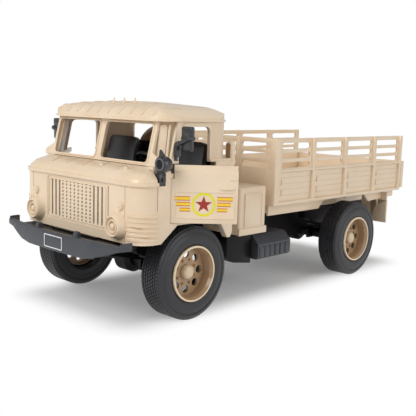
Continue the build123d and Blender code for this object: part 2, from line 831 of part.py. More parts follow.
with BuildPart() as cab_rear_wall:
    with BuildSketch(front(cab_rear_x - fit_gap)):
        outline([
            (-cab_half + wall, rear_wall_bottom_z),
            (cab_half - wall, rear_wall_bottom_z),
            (cab_half - wall, ledge_z - wall),
            (cab_half - side_profile_in, ledge_z),
            (cab_half - side_profile_in, door_top_z - fit_gap),
            (upper_half - upper_corner - fit_gap, door_top_z - fit_gap),
            (upper_half - upper_corner - fit_gap, eaves_z),
            (-upper_half + upper_corner + fit_gap, eaves_z),
            (-upper_half + upper_corner + fit_gap, door_top_z - fit_gap),
            (-cab_half + side_profile_in, door_top_z - fit_gap),
            (-cab_half + side_profile_in, ledge_z),
            (-cab_half + wall, ledge_z - wall),
        ])
        with Locations((0, (rear_window_bottom_z + rear_window_top_z) / 2)):
            RectangleRounded(2 * rear_window_half, rear_window_top_z - rear_window_bottom_z,
                             rear_window_corner, mode=Mode.SUBTRACT)
    extrude(amount=-wall)
save(cab_rear_wall, "cab_rear_wall")

# Roof: a domed pan, two crossed arched profiles, with ribs over the brow
roof_front_x = 26.5
roof_rear_x = -43.0
roof_overhang = 0.4
roof_half = upper_half + roof_overhang
roof_top_z = 150.0
roof_corner = 17.0
drip_rise = 1.2
drip_height = 1.4
rib_pitch = 12.2
rib_number = 10
rib_width = 1.1
rib_height = 0.6
rib_back_x = 0.5
rib_start = 4.0


roof_rise = roof_top_z - eaves_z
roof_back_rise = roof_rise * 0.23
roof_back_run = 11.0
roof_back_top = roof_rise * 0.74
crown_rear_x = -14.0
crown_rear_rise = roof_rise * 0.046
crown_front_x = 4.0
crown_front_drop = roof_rise * 0.07
brow_run = 7.0
brow_rise = roof_rise * 0.66
brow_foot = roof_rise * 0.18
roof_side_radii = [3.0, 16.0, 50.0, 34.0, 12.0, 2.0]
cheek_foot = roof_rise * 0.26
cheek_run = 14.0
cheek_rise = roof_rise * 0.77
crown_rise = 0.4
roof_face_radii = [4.0, 24.0, 300.0, 24.0, 4.0]


def roof_side(grow):
    # seen from the side: steep brow, long crown, round back
    with BuildLine() as path:
        FilletPolyline(
            (roof_rear_x - grow, eaves_z),
            (roof_rear_x - grow, eaves_z + roof_back_rise),
            (roof_rear_x + roof_back_run - grow, eaves_z + roof_back_top + grow),
            (crown_rear_x, roof_top_z + crown_rear_rise + grow),
            (crown_front_x, roof_top_z - crown_front_drop + grow),
            (roof_front_x - brow_run + grow, eaves_z + brow_rise + grow),
            (roof_front_x + grow, eaves_z + brow_foot),
            (roof_front_x + grow, eaves_z),
            radius=roof_side_radii)
        Line((roof_front_x + grow, eaves_z), (roof_rear_x - grow, eaves_z))
    make_face(path.edges())


def roof_face(grow):
    # seen from the front: tight shoulders and a low crown
    half = roof_half + grow
    with BuildLine() as path:
        FilletPolyline(
            (-half, eaves_z),
            (-half, eaves_z + cheek_foot),
            (-half + cheek_run, eaves_z + cheek_rise + grow),
            (0, roof_top_z + crown_rise + grow),
            (half - cheek_run, eaves_z + cheek_rise + grow),
            (half, eaves_z + cheek_foot),
            (half, eaves_z),
            radius=roof_face_radii)
        Line((half, eaves_z), (-half, eaves_z))
    make_face(path.edges())


def roof_plan(grow):
    with Locations(((roof_front_x + roof_rear_x) / 2, 0)):
        RectangleRounded(roof_front_x - roof_rear_x + 2 * grow, 2 * (roof_half + grow),
                         roof_corner + grow)


def domed(grow):
    # the roof's form, grown or shrunk by a thickness
    with BuildPart() as form:
        with BuildSketch(side(roof_half + grow)):
            roof_side(grow)
        extrude(amount=2 * (roof_half + grow))
        with BuildSketch(front(roof_rear_x - grow)):
            roof_face(grow)
        extrude(amount=roof_front_x - roof_rear_x + 2 * grow, mode=Mode.INTERSECT)
        with BuildSketch(level(eaves_z)):
            roof_plan(grow)
        extrude(amount=roof_top_z, mode=Mode.INTERSECT)
    return form


with BuildPart() as roof_hollow:
    add(domed(-wall).part)
    with BuildSketch(level(eaves_z - overrun)):
        outline([
            (cab_rear_x, -corner_centre[1]),
            (corner_centre[0], -upper_half + wall),
            (post_foot_x - wall - post_rake * upper_height, -upper_half + wall),
            (screen_back_x(eaves_z), -panel_front_y + panel_depth),
            (screen_back_x(eaves_z), panel_front_y - panel_depth),
            (post_foot_x - wall - post_rake * upper_height, upper_half - wall),
            (corner_centre[0], upper_half - wall),
            (cab_rear_x, corner_centre[1]),
        ])
    extrude(amount=roof_top_z, mode=Mode.INTERSECT)

with BuildPart() as roof_ribs:
    add(domed(rib_height).part)
    with BuildSketch(level(eaves_z + rib_start)):
        for centre_y in spaced(-rib_pitch * (rib_number - 1) / 2, rib_pitch, rib_number):
            box_face(rib_back_x, roof_front_x + overrun,
                     centre_y - rib_width / 2, centre_y + rib_width / 2)
    extrude(amount=roof_top_z, mode=Mode.INTERSECT)

with BuildPart() as roof:
    add(domed(0).part)
    add(roof_ribs.part)
    with BuildSketch(level(eaves_z)):
        roof_plan(drip_rise)
    extrude(amount=drip_height)
    add(roof_hollow.part, mode=Mode.SUBTRACT)
save(roof, "roof")

# Small lamps: three pointed pips on the crown and two turn lamps
marker_x = 5.0
marker_pitch = 12.0
marker_radius = 1.5
marker_tip_radius = 0.3
marker_waist_radius = 0.9
marker_base_z = 147.0
marker_waist_z = 149.6
marker_tip_z = 152.2

with BuildPart() as small_lamps:
    for centre_y in (-marker_pitch, 0, marker_pitch):
        centre = (sx(marker_x), centre_y, 0)
        with BuildSketch(Plane(origin=centre, x_dir=(1, 0, 0), z_dir=(0, -1, 0))):
            outline([
                (0, marker_base_z),
                (marker_radius, marker_base_z),
                (marker_radius, marker_waist_z - marker_waist_radius / 2),
                (marker_waist_radius, marker_waist_z),
                (marker_tip_radius, marker_tip_z),
                (0, marker_tip_z),
            ])
        revolve(axis=Axis(centre, (0, 0, 1)))
    add(domed(0).part, mode=Mode.SUBTRACT)
    # turn lamps over the headlamps
    for turned in (-1, 1):
        with BuildSketch(front(nose_x)):
            with Locations((turned * turn_y, turn_z)):
                Circle(turn_radius)
        extrude(amount=turn_length / 2)
        with BuildSketch(front(nose_x + turn_length / 2)):
            with Locations((turned * turn_y, turn_z)):
                Circle(turn_radius * 2 / 3)
        extrude(amount=turn_length / 2)
save(small_lamps, "small_lamps")

# Air scoops: oval mouths behind the side windows that face forward
scoop_front_x = -34.4
scoop_rear_x = -50.0
scoop_width = 7.4
scoop_height = 11.4
scoop_wall = 1.1
scoop_depth = 11.0
scoop_y = cab_half - side_profile_in - scoop_width / 2
scoop_z = shoulder_z + scoop_height / 2 + fit_gap

with BuildPart() as air_scoops:
    for turned in (-1, 1):
        with BuildSketch(front(scoop_rear_x)):
            with Locations((turned * scoop_y, scoop_z)):
                SlotOverall(scoop_height, scoop_width, rotation=90)
        extrude(amount=scoop_front_x - scoop_rear_x)
        with BuildSketch(front(scoop_front_x)):
            with Locations((turned * scoop_y, scoop_z)):
                SlotOverall(scoop_height - 2 * scoop_wall, scoop_width - 2 * scoop_wall, rotation=90)
        extrude(amount=-scoop_depth, mode=Mode.SUBTRACT)
        with BuildSketch(level(shoulder_z)):
            with Locations((corner_centre[0], turned * corner_centre[1])):
                Circle(upper_corner + fit_gap)
        extrude(amount=upper_height, mode=Mode.SUBTRACT)
save(air_scoops, "air_scoops")

# Inside the cab: tub, engine block and cover, dash, seats, steering wheel
tub_floor_z = 70.2
tub_thick = 1.6
tub_half = cab_half - flange_depth - fit_gap
tub_front_x = nose_x - wall - fit_gap
tub_corner = 12.0
tub_back_inset = 18.0
tub_back_half = upper_half - tub_back_inset
tub_back_z = 118.6
block_front_x = 20.0
block_rear_x = -30.0
block_half = 17.0
cover_front_x = 18.6
cover_rear_x = -20.0
cover_half = 15.5
cover_top_z = 98.0
cover_round = 4.0

with BuildPart() as cab_tub:
    tub_rear_x = cab_rear_x + fit_gap
    with BuildSketch(level(tub_floor_z)):
        outline([
            (tub_rear_x, -tub_half),
            (tub_front_x - tub_corner, -tub_half),
            (tub_front_x, -tub_half + tub_corner),
            (tub_front_x, tub_half - tub_corner),
            (tub_front_x - tub_corner, tub_half),
            (tub_rear_x, tub_half),
        ])
    extrude(amount=tub_thick)
    with BuildSketch(front(tub_rear_x)):
        box_face(-tub_back_half, tub_back_half, tub_floor_z, tub_back_z)
    extrude(amount=wall)
save(cab_tub, "cab_tub")

with BuildPart() as engine_box:
    # block under the tub, cover on the tub's floor
    with BuildSketch(level(chassis_top_z)):
        box_face(block_rear_x, block_front_x, -block_half, block_half)
    extrude(amount=tub_floor_z - chassis_top_z)
    with BuildSketch(front(cover_rear_x)):
        box_face(-cover_half, cover_half, tub_floor_z + tub_thick, cover_top_z)
    extrude(amount=cover_front_x - cover_rear_x)
    cover_edges = engine_box.edges().filter_by(Axis.X).group_by(Axis.Z)[-1]
    fillet(cover_edges, cover_round)
save(engine_box, "engine_box")

dash_half = screen_half - 2 * wall
dash_front_x = cowl_back_x - fit_gap
dash_rear_x = 19.0
dash_bottom_z = 92.0
dash_top_z = 105.0
dash_slope = 5.0

with BuildPart() as dashboard:
    with BuildSketch(side(dash_half)):
        outline([
            (dash_front_x, dash_bottom_z),
            (dash_front_x, dash_top_z),
            (dash_rear_x + dash_slope, dash_top_z),
            (dash_rear_x, dash_top_z - dash_slope),
            (dash_rear_x, dash_bottom_z + dash_slope),
            (dash_rear_x + dash_slope / 2, dash_bottom_z),
        ])
    extrude(amount=2 * dash_half)
save(dashboard, "dashboard")

seat_y = 38.0
seat_half = 16.6
seat_back_x = -22.0
seat_back_thick = 5.0
seat_lean = 3.0
seat_front_x = 6.0
seat_cushion_z = 90.0
seat_cushion_thick = 6.0
seat_top_z = 122.6
seat_round = 5.0
seat_base_inset = 3.0

with BuildPart() as seats:
    cushion_rear_x = seat_back_x - seat_back_thick
    rest_height = seat_top_z - seat_cushion_z
    for centre_y in (-seat_y, seat_y):
        # base box on the tub floor
        with BuildSketch(level(tub_floor_z + tub_thick)):
            box_face(cushion_rear_x + seat_base_inset, seat_front_x - seat_base_inset,
                     centre_y - seat_half + seat_base_inset, centre_y + seat_half - seat_base_inset)
        extrude(amount=seat_cushion_z - seat_cushion_thick - tub_floor_z - tub_thick)
        # cushion
        with BuildSketch(level(seat_cushion_z - seat_cushion_thick)):
            with Locations(((cushion_rear_x + seat_front_x) / 2, centre_y)):
                RectangleRounded(seat_front_x - cushion_rear_x, 2 * seat_half, seat_round)
        extrude(amount=seat_cushion_thick)
        # leaning back rest with rounded top corners
        rest_plane = Plane(origin=(sx(seat_back_x + seat_lean), centre_y, seat_cushion_z),
                           x_dir=(0, 1, 0), z_dir=(rest_height, 0, seat_lean * 2))
        with BuildSketch(rest_plane):
            with Locations((0, rest_height / 2 - seat_round / 2)):
                RectangleRounded(2 * seat_half, rest_height + seat_round, seat_round)
        extrude(amount=-seat_back_thick)
save(seats, "seats")

steer_x = 9.0
steer_y = 38.0
steer_z = 108.0
steer_radius = 12.0
steer_tube = 1.1
steer_hub = 2.6
steer_column = 1.4
steer_tilt = 32.0
steer_spoke_width = 2.2
column_length = 21.0
column_dir = (sin(radians(steer_tilt)), 0, -cos(radians(steer_tilt)))
steer_centre = (sx(steer_x), steer_y, steer_z)

with BuildPart() as steering_wheel:
    steer_plane = Plane(origin=steer_centre, x_dir=(0, 1, 0),
                        z_dir=(-column_dir[0], 0, -column_dir[2]))
    with BuildSketch(steer_plane):
        Circle(steer_radius + steer_tube)
        Circle(steer_radius - steer_tube, mode=Mode.SUBTRACT)
        with Locations((0, 0)):
            Circle(steer_hub)
            Rectangle(2 * steer_radius, steer_spoke_width)
            with Locations((0, steer_radius / 2)):
                Rectangle(steer_spoke_width, steer_radius)
    extrude(amount=steer_tube, both=True)
    with BuildSketch(steer_plane):
        Circle(steer_column)
    extrude(amount=-column_length)
save(steering_wheel, "steering_wheel")

# Mirrors on bent arms, and the searchlight on its block by the left pillar
mirror_x = 12.0
mirror_reach = 10.0
mirror_y = upper_half + mirror_reach
mirror_z = 125.6
mirror_width = 10.0
mirror_height = 15.0
mirror_thick = 3.4
mirror_round = 3.0
mirror_arm = 2.6
mirror_foot_x = 14.0
mirror_foot_z = 118.4
mirror_foot_height = 9.6
mirror_foot_width = 5.6
mirror_foot_depth = 3.0

with BuildPart() as mirrors:
    foot_y = upper_half + window_rim_rise + fit_gap
    foot_top_z = mirror_foot_z + mirror_foot_height / 2
    with BuildSketch(front(mirror_x - mirror_thick / 2)):
        with Locations((mirror_y, mirror_z)):
            RectangleRounded(mirror_width, mirror_height, mirror_round)
    extrude(amount=mirror_thick)
    with BuildSketch(front(mirror_foot_x - mirror_foot_width / 2)):
        with Locations((foot_y + mirror_foot_depth / 2, mirror_foot_z)):
            RectangleRounded(mirror_foot_depth, mirror_foot_height, mirror_foot_depth / 3)
    extrude(amount=mirror_foot_width)
    with BuildSketch(front(mirror_x - mirror_arm / 2)):
        outline([
            (foot_y + mirror_foot_depth / 3, foot_top_z - 2 * mirror_arm),
            (foot_y + mirror_foot_depth, foot_top_z - 2 * mirror_arm),
            (mirror_y, mirror_z - mirror_arm / 2),
            (mirror_y, mirror_z + mirror_arm / 2),
            (foot_y + mirror_foot_depth, foot_top_z + mirror_arm / 2),
            (foot_y + mirror_foot_depth / 3, foot_top_z - mirror_arm / 2),
        ])
    extrude(amount=mirror_arm)
    mirror(about=Plane.XZ)
save(mirrors, "mirrors")

search_overhang = 1.6
search_y = cab_half + search_overhang
search_z = 110.0
search_profile = [
    # distance behind the lens rim, radius
    (0, 4.7),
    (1.0, 4.9),
    (4.0, 4.6),
    (7.6, 3.4),
    (9.6, 1.6),
    (10.2, 0),
]
search_front_x = 33.4
search_mouth_radius = 3.6
search_mouth_depth = 1.6
search_block_length = 5.2
search_block_front_x = cowl_back_x + fit_gap + search_block_length
search_block_width = 6.0
search_block_inner_y = cab_half - search_block_width
search_block_top_z = 103.0
search_stalk = 1.3
search_fin_height = 3.4
search_fin_width = 1.0

with BuildPart() as searchlight:
    search_centre = (sx(search_front_x), search_y, search_z)
    with BuildSketch(Plane(origin=search_centre, x_dir=(-1, 0, 0), z_dir=(0, 1, 0))):
        outline([(0, 0)] + search_profile)
    revolve(axis=Axis(search_centre, (1, 0, 0)))
    with BuildSketch(front(search_front_x)):
        with Locations((search_y, search_z)):
            Circle(search_mouth_radius)
    extrude(amount=-search_mouth_depth, mode=Mode.SUBTRACT)
    with BuildSketch(level(search_block_top_z - overrun)):
        with Locations((search_block_front_x - search_stalk, cab_half - 2 * search_stalk)):
            Circle(search_stalk)
    extrude(amount=search_z - search_block_top_z)
    with BuildSketch(level(belt_z)):
        box_face(search_block_front_x - search_block_length, search_block_front_x,
                 search_block_inner_y, cab_half)
    extrude(amount=search_block_top_z - belt_z)
    with BuildSketch(side(search_y + search_fin_width / 2)):
        outline([
            (search_front_x, search_z + search_profile[0][1] - overrun / 2),
            (search_front_x, search_z + search_profile[0][1] + search_fin_height),
            (search_front_x - search_fin_height, search_z + search_profile[2][1] - overrun / 2),
        ])
    extrude(amount=search_fin_width)
save(searchlight, "searchlight")

# Spare wheel moulded upright behind the cab, on a foot over the chassis
spare_front_x = -43.0
spare_thick = 10.0
spare_y = -14.0
spare_radius = 30.0
spare_z = 101.6
spare_rim = 3.0
spare_recess = 6.0
spare_hub_radius = 9.0
spare_foot_width = 16.0

with BuildPart() as spare_wheel:
    with BuildSketch(front(spare_front_x - spare_thick)):
        with Locations((spare_y, spare_z)):
            Circle(spare_radius)
    extrude(amount=spare_thick)
    with BuildSketch(front(spare_front_x)):
        with Locations((spare_y, spare_z)):
            Circle(spare_radius - spare_rim)
            Circle(spare_hub_radius, mode=Mode.SUBTRACT)
    extrude(amount=-spare_recess, mode=Mode.SUBTRACT)
    with BuildSketch(front(spare_front_x - spare_thick)):
        box_face(spare_y - spare_foot_width / 2, spare_y + spare_foot_width / 2,
                 chassis_top_z, spare_z - spare_radius + spare_rim)
    extrude(amount=spare_thick)
save(spare_wheel, "spare_wheel")

# Side boxes, steps and fuel tanks hung on the chassis tray
box_front_x = -54.5
box_rear_x = -85.5
box_outer_y = 64.0
box_bottom_z = 52.0
box_top_z = 88.0
box_edge = 1.2
box_panel_inset = 5.0
box_panel_rise = 0.8

with BuildPart() as side_boxes:
    with BuildSketch(level(box_bottom_z)):
        box_face(box_rear_x, box_front_x, chassis_half, box_outer_y)
    extrude(amount=box_top_z - box_bottom_z)
    chamfer(side_boxes.edges().group_by(Axis.Y)[-1], box_edge)
    with BuildSketch(side(box_outer_y)):
        box_face(box_rear_x + box_panel_inset, box_front_x - box_panel_inset,
                 box_bottom_z + box_panel_inset, box_top_z - box_panel_inset)
    extrude(amount=-box_panel_rise)
    mirror(about=Plane.XZ)
save(side_boxes, "side_boxes")

step_front_x = -57.0
step_rear_x = -86.0
step_outer_y = 50.0
step_bottom_z = 24.0
step_top_z = box_bottom_z - fit_gap
step_slope = 9.0

with BuildPart() as step_boxes:
    with BuildSketch(side(step_outer_y)):
        outline([
            (step_front_x, step_top_z),
            (step_rear_x, step_top_z),
            (step_rear_x, step_bottom_z),
            (step_front_x - step_slope, step_bottom_z + step_slope / 3),
            (step_front_x, step_bottom_z + step_slope),
        ])
    extrude(amount=step_outer_y - chassis_half)
    mirror(about=Plane.XZ)
save(step_boxes, "step_boxes")

tank_front_x = -88.0
tank_rear_x = -130.0
tank_outer_y = 56.0
tank_bottom_z = 27.0
tank_top_z = 46.4
tank_slope = 7.0
groove_number = 5
groove_width = 0.9
groove_depth = 0.7
groove_height = 9.0

with BuildPart() as fuel_tanks:
    with BuildSketch(front(tank_rear_x)):
        outline([
            (chassis_half, tank_bottom_z),
            (tank_outer_y - wall, tank_bottom_z),
            (tank_outer_y, tank_bottom_z + wall),
            (tank_outer_y, tank_top_z - tank_slope),
            (tank_outer_y - tank_slope, tank_top_z),
            (chassis_half, tank_top_z),
        ])
    extrude(amount=tank_front_x - tank_rear_x)
    groove_pitch = (tank_front_x - tank_rear_x) / (groove_number + 1)
    with BuildSketch(side(tank_outer_y)):
        for place in spaced(tank_rear_x + groove_pitch, groove_pitch, groove_number):
            box_face(place - groove_width / 2, place + groove_width / 2,
                     tank_bottom_z + wall, tank_bottom_z + wall + groove_height)
    extrude(amount=groove_depth, mode=Mode.SUBTRACT)
    mirror(about=Plane.XZ)
save(fuel_tanks, "fuel_tanks")

# Under the bed: sills on the tray, outer skirts, cross bearers, mud flaps
floor_bottom_z = 73.0
floor_top_z = 75.6
sill_inner_y = 14.0
skirt_y = 58.0
skirt_bottom_z = 62.4
skirt_arch_z = 69.4
skirt_arch_gap = 8.0
bearer_number = 6
bearer_width = 5.0
bearer_z = 68.0
flap_ahead = 22.0
flap_x = bed_rear_x + flap_ahead
flap_thick = 1.6
flap_inner_y = 47.0
flap_outer_y = 64.6
flap_bottom_z = 40.0
flap_gusset = 8.0

# Tailgate and its knuckles
tailgate_half = 64.6
tailgate_top_z = bed_belt_z
tailgate_bottom_z = 73.4
knuckle_radius = 1.7
knuckle_z = 71.2
knuckle_y = 44.0
knuckle_width = 7.0
knuckle_pin = 0.8
tail_front_x = bed_rear_x - tailgate_gap
knuckle_x = tail_front_x - tailgate_thick / 2

with BuildPart() as bed_sills:
    for turned in (-1, 1):
        with BuildSketch(level(chassis_top_z)):
            box_face(chassis_rear_x, bed_front_x - wall, turned * sill_inner_y, turned * chassis_half)
        extrude(amount=bearer_z - chassis_top_z)
save(bed_sills, "bed_sills")

with BuildPart() as bed_skirts:
    for outer_y in (skirt_y, -skirt_y + wall):
        with BuildSketch(side(outer_y)):
            outline([
                (bed_front_x - wall, floor_bottom_z),
                (bed_front_x - wall, skirt_bottom_z),
                (-wheelbase + tyre_radius + skirt_arch_gap, skirt_bottom_z),
                (-wheelbase + tyre_radius, skirt_arch_z),
                (-wheelbase - tyre_radius, skirt_arch_z),
                (-wheelbase - tyre_radius - skirt_arch_gap, skirt_bottom_z),
                (bed_rear_x, skirt_bottom_z + wall),
                (bed_rear_x, floor_bottom_z),
            ])
        extrude(amount=wall)
save(bed_skirts, "bed_skirts")

with BuildPart() as bed_bearers:
    bearer_pitch = (bed_front_x - bed_rear_x - wall - bearer_width) / (bearer_number - 1)
    bearer_half = skirt_y - wall - fit_gap
    with BuildSketch(level(bearer_z + fit_gap)):
        for place in spaced(bed_rear_x + bearer_width / 2, bearer_pitch, bearer_number):
            box_face(place - bearer_width / 2, place + bearer_width / 2, -bearer_half, bearer_half)
    extrude(amount=floor_bottom_z - bearer_z - fit_gap)
    # ears and pins for the tailgate's knuckles
    for centre_y in (-knuckle_y, knuckle_y):
        for turned in (-1, 1):
            ear_y = centre_y + turned * (knuckle_width + 2 * move_gap + wall) / 2
            with BuildSketch(side(ear_y + wall / 2)):
                with Locations((knuckle_x, knuckle_z)):
                    Circle(knuckle_radius)
                box_face(knuckle_x, bed_rear_x + wall, knuckle_z - knuckle_radius,
                         floor_bottom_z - move_gap)
            extrude(amount=wall)
        with BuildSketch(side(centre_y + knuckle_width / 2 + move_gap + wall)):
            with Locations((knuckle_x, knuckle_z)):
                Circle(knuckle_pin)
        extrude(amount=knuckle_width + 2 * move_gap + 2 * wall)
save(bed_bearers, "bed_bearers")

with BuildPart() as mud_flaps:
    with BuildSketch(front(flap_x)):
        box_face(flap_inner_y, skirt_y - wall - fit_gap, flap_bottom_z, floor_bottom_z)
        box_face(flap_inner_y, flap_outer_y, flap_bottom_z, skirt_bottom_z - fit_gap)
    extrude(amount=-flap_thick)
    with BuildSketch(side(flap_inner_y + flap_gusset)):
        outline([
            (flap_x, floor_bottom_z),
            (flap_x + flap_gusset, floor_bottom_z),
            (flap_x, floor_bottom_z - 2 * flap_gusset),
        ])
    extrude(amount=flap_thick)
    mirror(about=Plane.XZ)
save(mud_flaps, "mud_flaps")

# Bed: floor, sides with slatted rails over boarded panels, headboard
board_y = 62.6
board_thick = 1.6
post_width = 3.4
bay_number = 4
slot_rows_z = [102.7, 110.4, 118.1]
rail_slot_height = 4.8
rail_slot_round = 2.2
rail_slot_inset = 1.8
corner_inset = 5.4
bed_rib_height = 1.6
bed_foot_height = 2.4
belt_z_low = bed_belt_z - bed_rib_height
floor_half = board_y - board_thick
bed_front_end_x = bed_front_x - wall - fit_gap

with BuildPart() as bed_floor:
    with BuildSketch(level(floor_bottom_z)):
        box_face(bed_rear_x, bed_front_end_x, -floor_half + fit_gap, floor_half - fit_gap)
    extrude(amount=floor_top_z - floor_bottom_z)
save(bed_floor, "bed_floor")

bay_pitch = (bed_front_x - wall - bed_rear_x - post_width) / bay_number
post_stations = spaced(bed_rear_x + post_width / 2, bay_pitch, bay_number + 1)

with BuildPart() as bed_side_left:
    with BuildSketch(side(board_y)):
        box_face(bed_rear_x, bed_front_end_x, bed_bottom_z, bed_top_z)
        for bay, station in enumerate(post_stations[:-1]):
            rear_x = station + post_width / 2 + rail_slot_inset
            front_x = station + bay_pitch - post_width / 2 - rail_slot_inset
            if bay == bay_number - 1:
                front_x = front_x + rail_slot_inset - corner_inset
            for height in slot_rows_z:
                with Locations(((rear_x + front_x) / 2, height)):
                    RectangleRounded(front_x - rear_x, rail_slot_height, rail_slot_round,
                                     mode=Mode.SUBTRACT)
    extrude(amount=board_thick)
    with BuildSketch(side(bed_half)):
        for station in post_stations:
            box_face(station - post_width / 2, station + post_width / 2, bed_bottom_z, bed_top_z)
        box_face(bed_rear_x, bed_front_end_x, bed_bottom_z, bed_bottom_z + bed_foot_height)
        box_face(bed_rear_x, bed_front_end_x, belt_z_low, bed_belt_z)
        # the solid front corner, cut aslant at the belt
        outline([
            (bed_front_end_x, bed_top_z),
            (bed_front_end_x, belt_z_low - corner_inset),
            (bed_front_end_x - corner_inset, belt_z_low),
            (bed_front_end_x - corner_inset, bed_top_z),
        ])
    extrude(amount=bed_half - board_y)
save(bed_side_left, "bed_side_left")

with BuildPart() as bed_side_right:
    mirror(bed_side_left.part, about=Plane.XZ)
save(bed_side_right, "bed_side_right")

headboard_post_y = 26.0
headboard_post_rise = 0.8
headboard_inset = 3.0

with BuildPart() as headboard:
    with BuildSketch(front(bed_front_x)):
        box_face(-bed_half, bed_half, floor_bottom_z - wall, bed_top_z)
        for height in slot_rows_z:
            with Locations((0, height)):
                RectangleRounded(2 * (headboard_post_y - headboard_inset), rail_slot_height,
                                 rail_slot_round, mode=Mode.SUBTRACT)
            outer_y = bed_half - corner_inset
            inner_y = headboard_post_y + headboard_inset
            with Locations(((outer_y + inner_y) / 2, height), (-(outer_y + inner_y) / 2, height)):
                RectangleRounded(outer_y - inner_y, rail_slot_height, rail_slot_round,
                                 mode=Mode.SUBTRACT)
    extrude(amount=-wall)
    with BuildSketch(front(bed_front_x)):
        for centre_y in (-headboard_post_y, headboard_post_y):
            box_face(centre_y - post_width / 2, centre_y + post_width / 2,
                     floor_bottom_z - wall, bed_top_z)
    extrude(amount=headboard_post_rise)
save(headboard, "headboard")

# Tailgate: a ribbed board on two pinned knuckles under the floor's edge
with BuildPart() as tailgate:
    with BuildSketch(front(tail_front_x)):
        box_face(-tailgate_half, tailgate_half, tailgate_bottom_z, tailgate_top_z)
    extrude(amount=-tailgate_thick)
    with BuildSketch(front(tail_front_x - tailgate_thick)):
        for height in (tailgate_bottom_z, tailgate_top_z - bed_rib_height):
            box_face(-tailgate_half, tailgate_half, height, height + bed_rib_height)
        for centre_y in (-headboard_post_y, headboard_post_y):
            box_face(centre_y - post_width / 2, centre_y + post_width / 2,
                     tailgate_bottom_z, tailgate_top_z)
        for turned in (-1, 1):
            box_face(turned * (tailgate_half - post_width), turned * tailgate_half,
                     tailgate_bottom_z, tailgate_top_z)
    extrude(amount=-tail_rib_rise)
    for centre_y in (-knuckle_y, knuckle_y):
        with BuildSketch(side(centre_y + knuckle_width / 2)):
            with Locations((knuckle_x, knuckle_z)):
                Circle(knuckle_radius)
            box_face(knuckle_x - tailgate_thick / 2, knuckle_x + tailgate_thick / 2,
                     knuckle_z, tailgate_bottom_z)
        extrude(amount=knuckle_width)
        with BuildSketch(side(centre_y + knuckle_width)):
            with Locations((knuckle_x, knuckle_z)):
                Circle(knuckle_pin + pin_gap)
        extrude(amount=2 * knuckle_width, mode=Mode.SUBTRACT)
save(tailgate, "tailgate")

# Wheels: fat tyres on dished rims, both wheels of an axle on one steel pin
rim_bead_radius = 18.4
rim_lip_radius = 19.6
rim_lip_rise = 0.6
rim_wall = 1.2
rim_inner_y = 60.0
disc_y = 62.2
disc_thick = 1.8
vent_radius = 2.8
vent_circle = 12.6
vent_number = 8
hub_radius = 5.4
hub_height = 4.0
stud_circle = 7.6
cap_share = 0.72
tyre_shoulder_y = 3.4
tyre_shoulder_z = 2.6
tyre_bead_y = 2.0
tyre_side_y = 0.8


def wheel(end, station, turned):
    hub = (sx(station), 0, tyre_radius)
    outer_y = tyre_outer_y
    inner_y = tyre_outer_y - tyre_width
    across = Plane(origin=hub, x_dir=(0, turned, 0), z_dir=(turned, 0, 0))
    name = f"{end}_{'left' if turned > 0 else 'right'}"
    with BuildPart() as tyre:
        with BuildSketch(across):
            outline([
                (inner_y + tyre_side_y, rim_bead_radius + fit_gap),
                (inner_y, rim_bead_radius + tyre_bead_y + wall),
                (inner_y + tyre_side_y, tyre_radius - 2 * tyre_shoulder_z),
                (inner_y + tyre_shoulder_y, tyre_radius - tyre_shoulder_z / 3),
                (inner_y + 2 * tyre_shoulder_y, tyre_radius),
                (outer_y - 2 * tyre_shoulder_y, tyre_radius),
                (outer_y - tyre_shoulder_y, tyre_radius - tyre_shoulder_z / 3),
                (outer_y - tyre_side_y, tyre_radius - 2 * tyre_shoulder_z),
                (outer_y, rim_bead_radius + tyre_bead_y + wall),
                (outer_y - tyre_side_y, rim_lip_radius + fit_gap),
                (outer_y - tyre_bead_y, rim_bead_radius + fit_gap),
            ])
        revolve(axis=Axis(hub, (0, 1, 0)))
    save(tyre, f"tyre_{name}")
    with BuildPart() as rim:
        cap_y = disc_y + disc_thick
        with BuildSketch(across):
            with BuildLine() as path:
                Polyline(
                    (cap_y, hub_radius),
                    (cap_y, rim_bead_radius - rim_wall),
                    (outer_y - tyre_bead_y, rim_bead_radius - rim_wall),
                    (outer_y + rim_lip_rise, rim_lip_radius - rim_wall),
                    (outer_y + rim_lip_rise, rim_lip_radius),
                    (outer_y - tyre_side_y, rim_lip_radius),
                    (outer_y - tyre_bead_y, rim_bead_radius),
                    (rim_inner_y, rim_bead_radius),
                    (rim_inner_y, rim_bead_radius - rim_wall),
                    (disc_y, rim_bead_radius - rim_wall),
                    (disc_y, stud_circle),
                    (rim_inner_y, hub_radius),
                    (rim_inner_y, 0),
                    (cap_y + hub_height, 0))
                ThreePointArc((cap_y + hub_height, 0),
                              (cap_y + hub_height * cap_share, hub_radius * cap_share),
                              (cap_y, hub_radius))
            make_face(path.edges())
        revolve(axis=Axis(hub, (0, 1, 0)))
        with BuildSketch(Plane(origin=hub, x_dir=(1, 0, 0), z_dir=(0, -1, 0))):
            with PolarLocations(vent_circle, vent_number):
                Circle(vent_radius)
        extrude(amount=-turned * (outer_y + overrun), mode=Mode.SUBTRACT)
    save(rim, f"rim_{name}")


def axle_pin(end, station):
    with BuildPart() as pin:
        with BuildSketch(side(rim_inner_y - fit_gap)):
            with Locations((station, tyre_radius)):
                Circle(shaft_radius)
        extrude(amount=2 * (rim_inner_y - fit_gap))
    save(pin, f"pin_{end}")


for end, station in (("front", 0), ("rear", -wheelbase)):
    for turned in (1, -1):
        wheel(end, station, turned)
    axle_pin(end, station)

# Doors: half-height leaves, shown part open, hinged at their front edge
door_open = 42.0
panel_inset = 2.0
panel_rise = 0.4
panel_bottom_z = 73.6
panel_top_z = 91.6
panel_round = 2.0
handle_z = 93.4
handle_width = 9.0
handle_height = 1.6
handle_rise = 1.0
handle_inset = 2.6

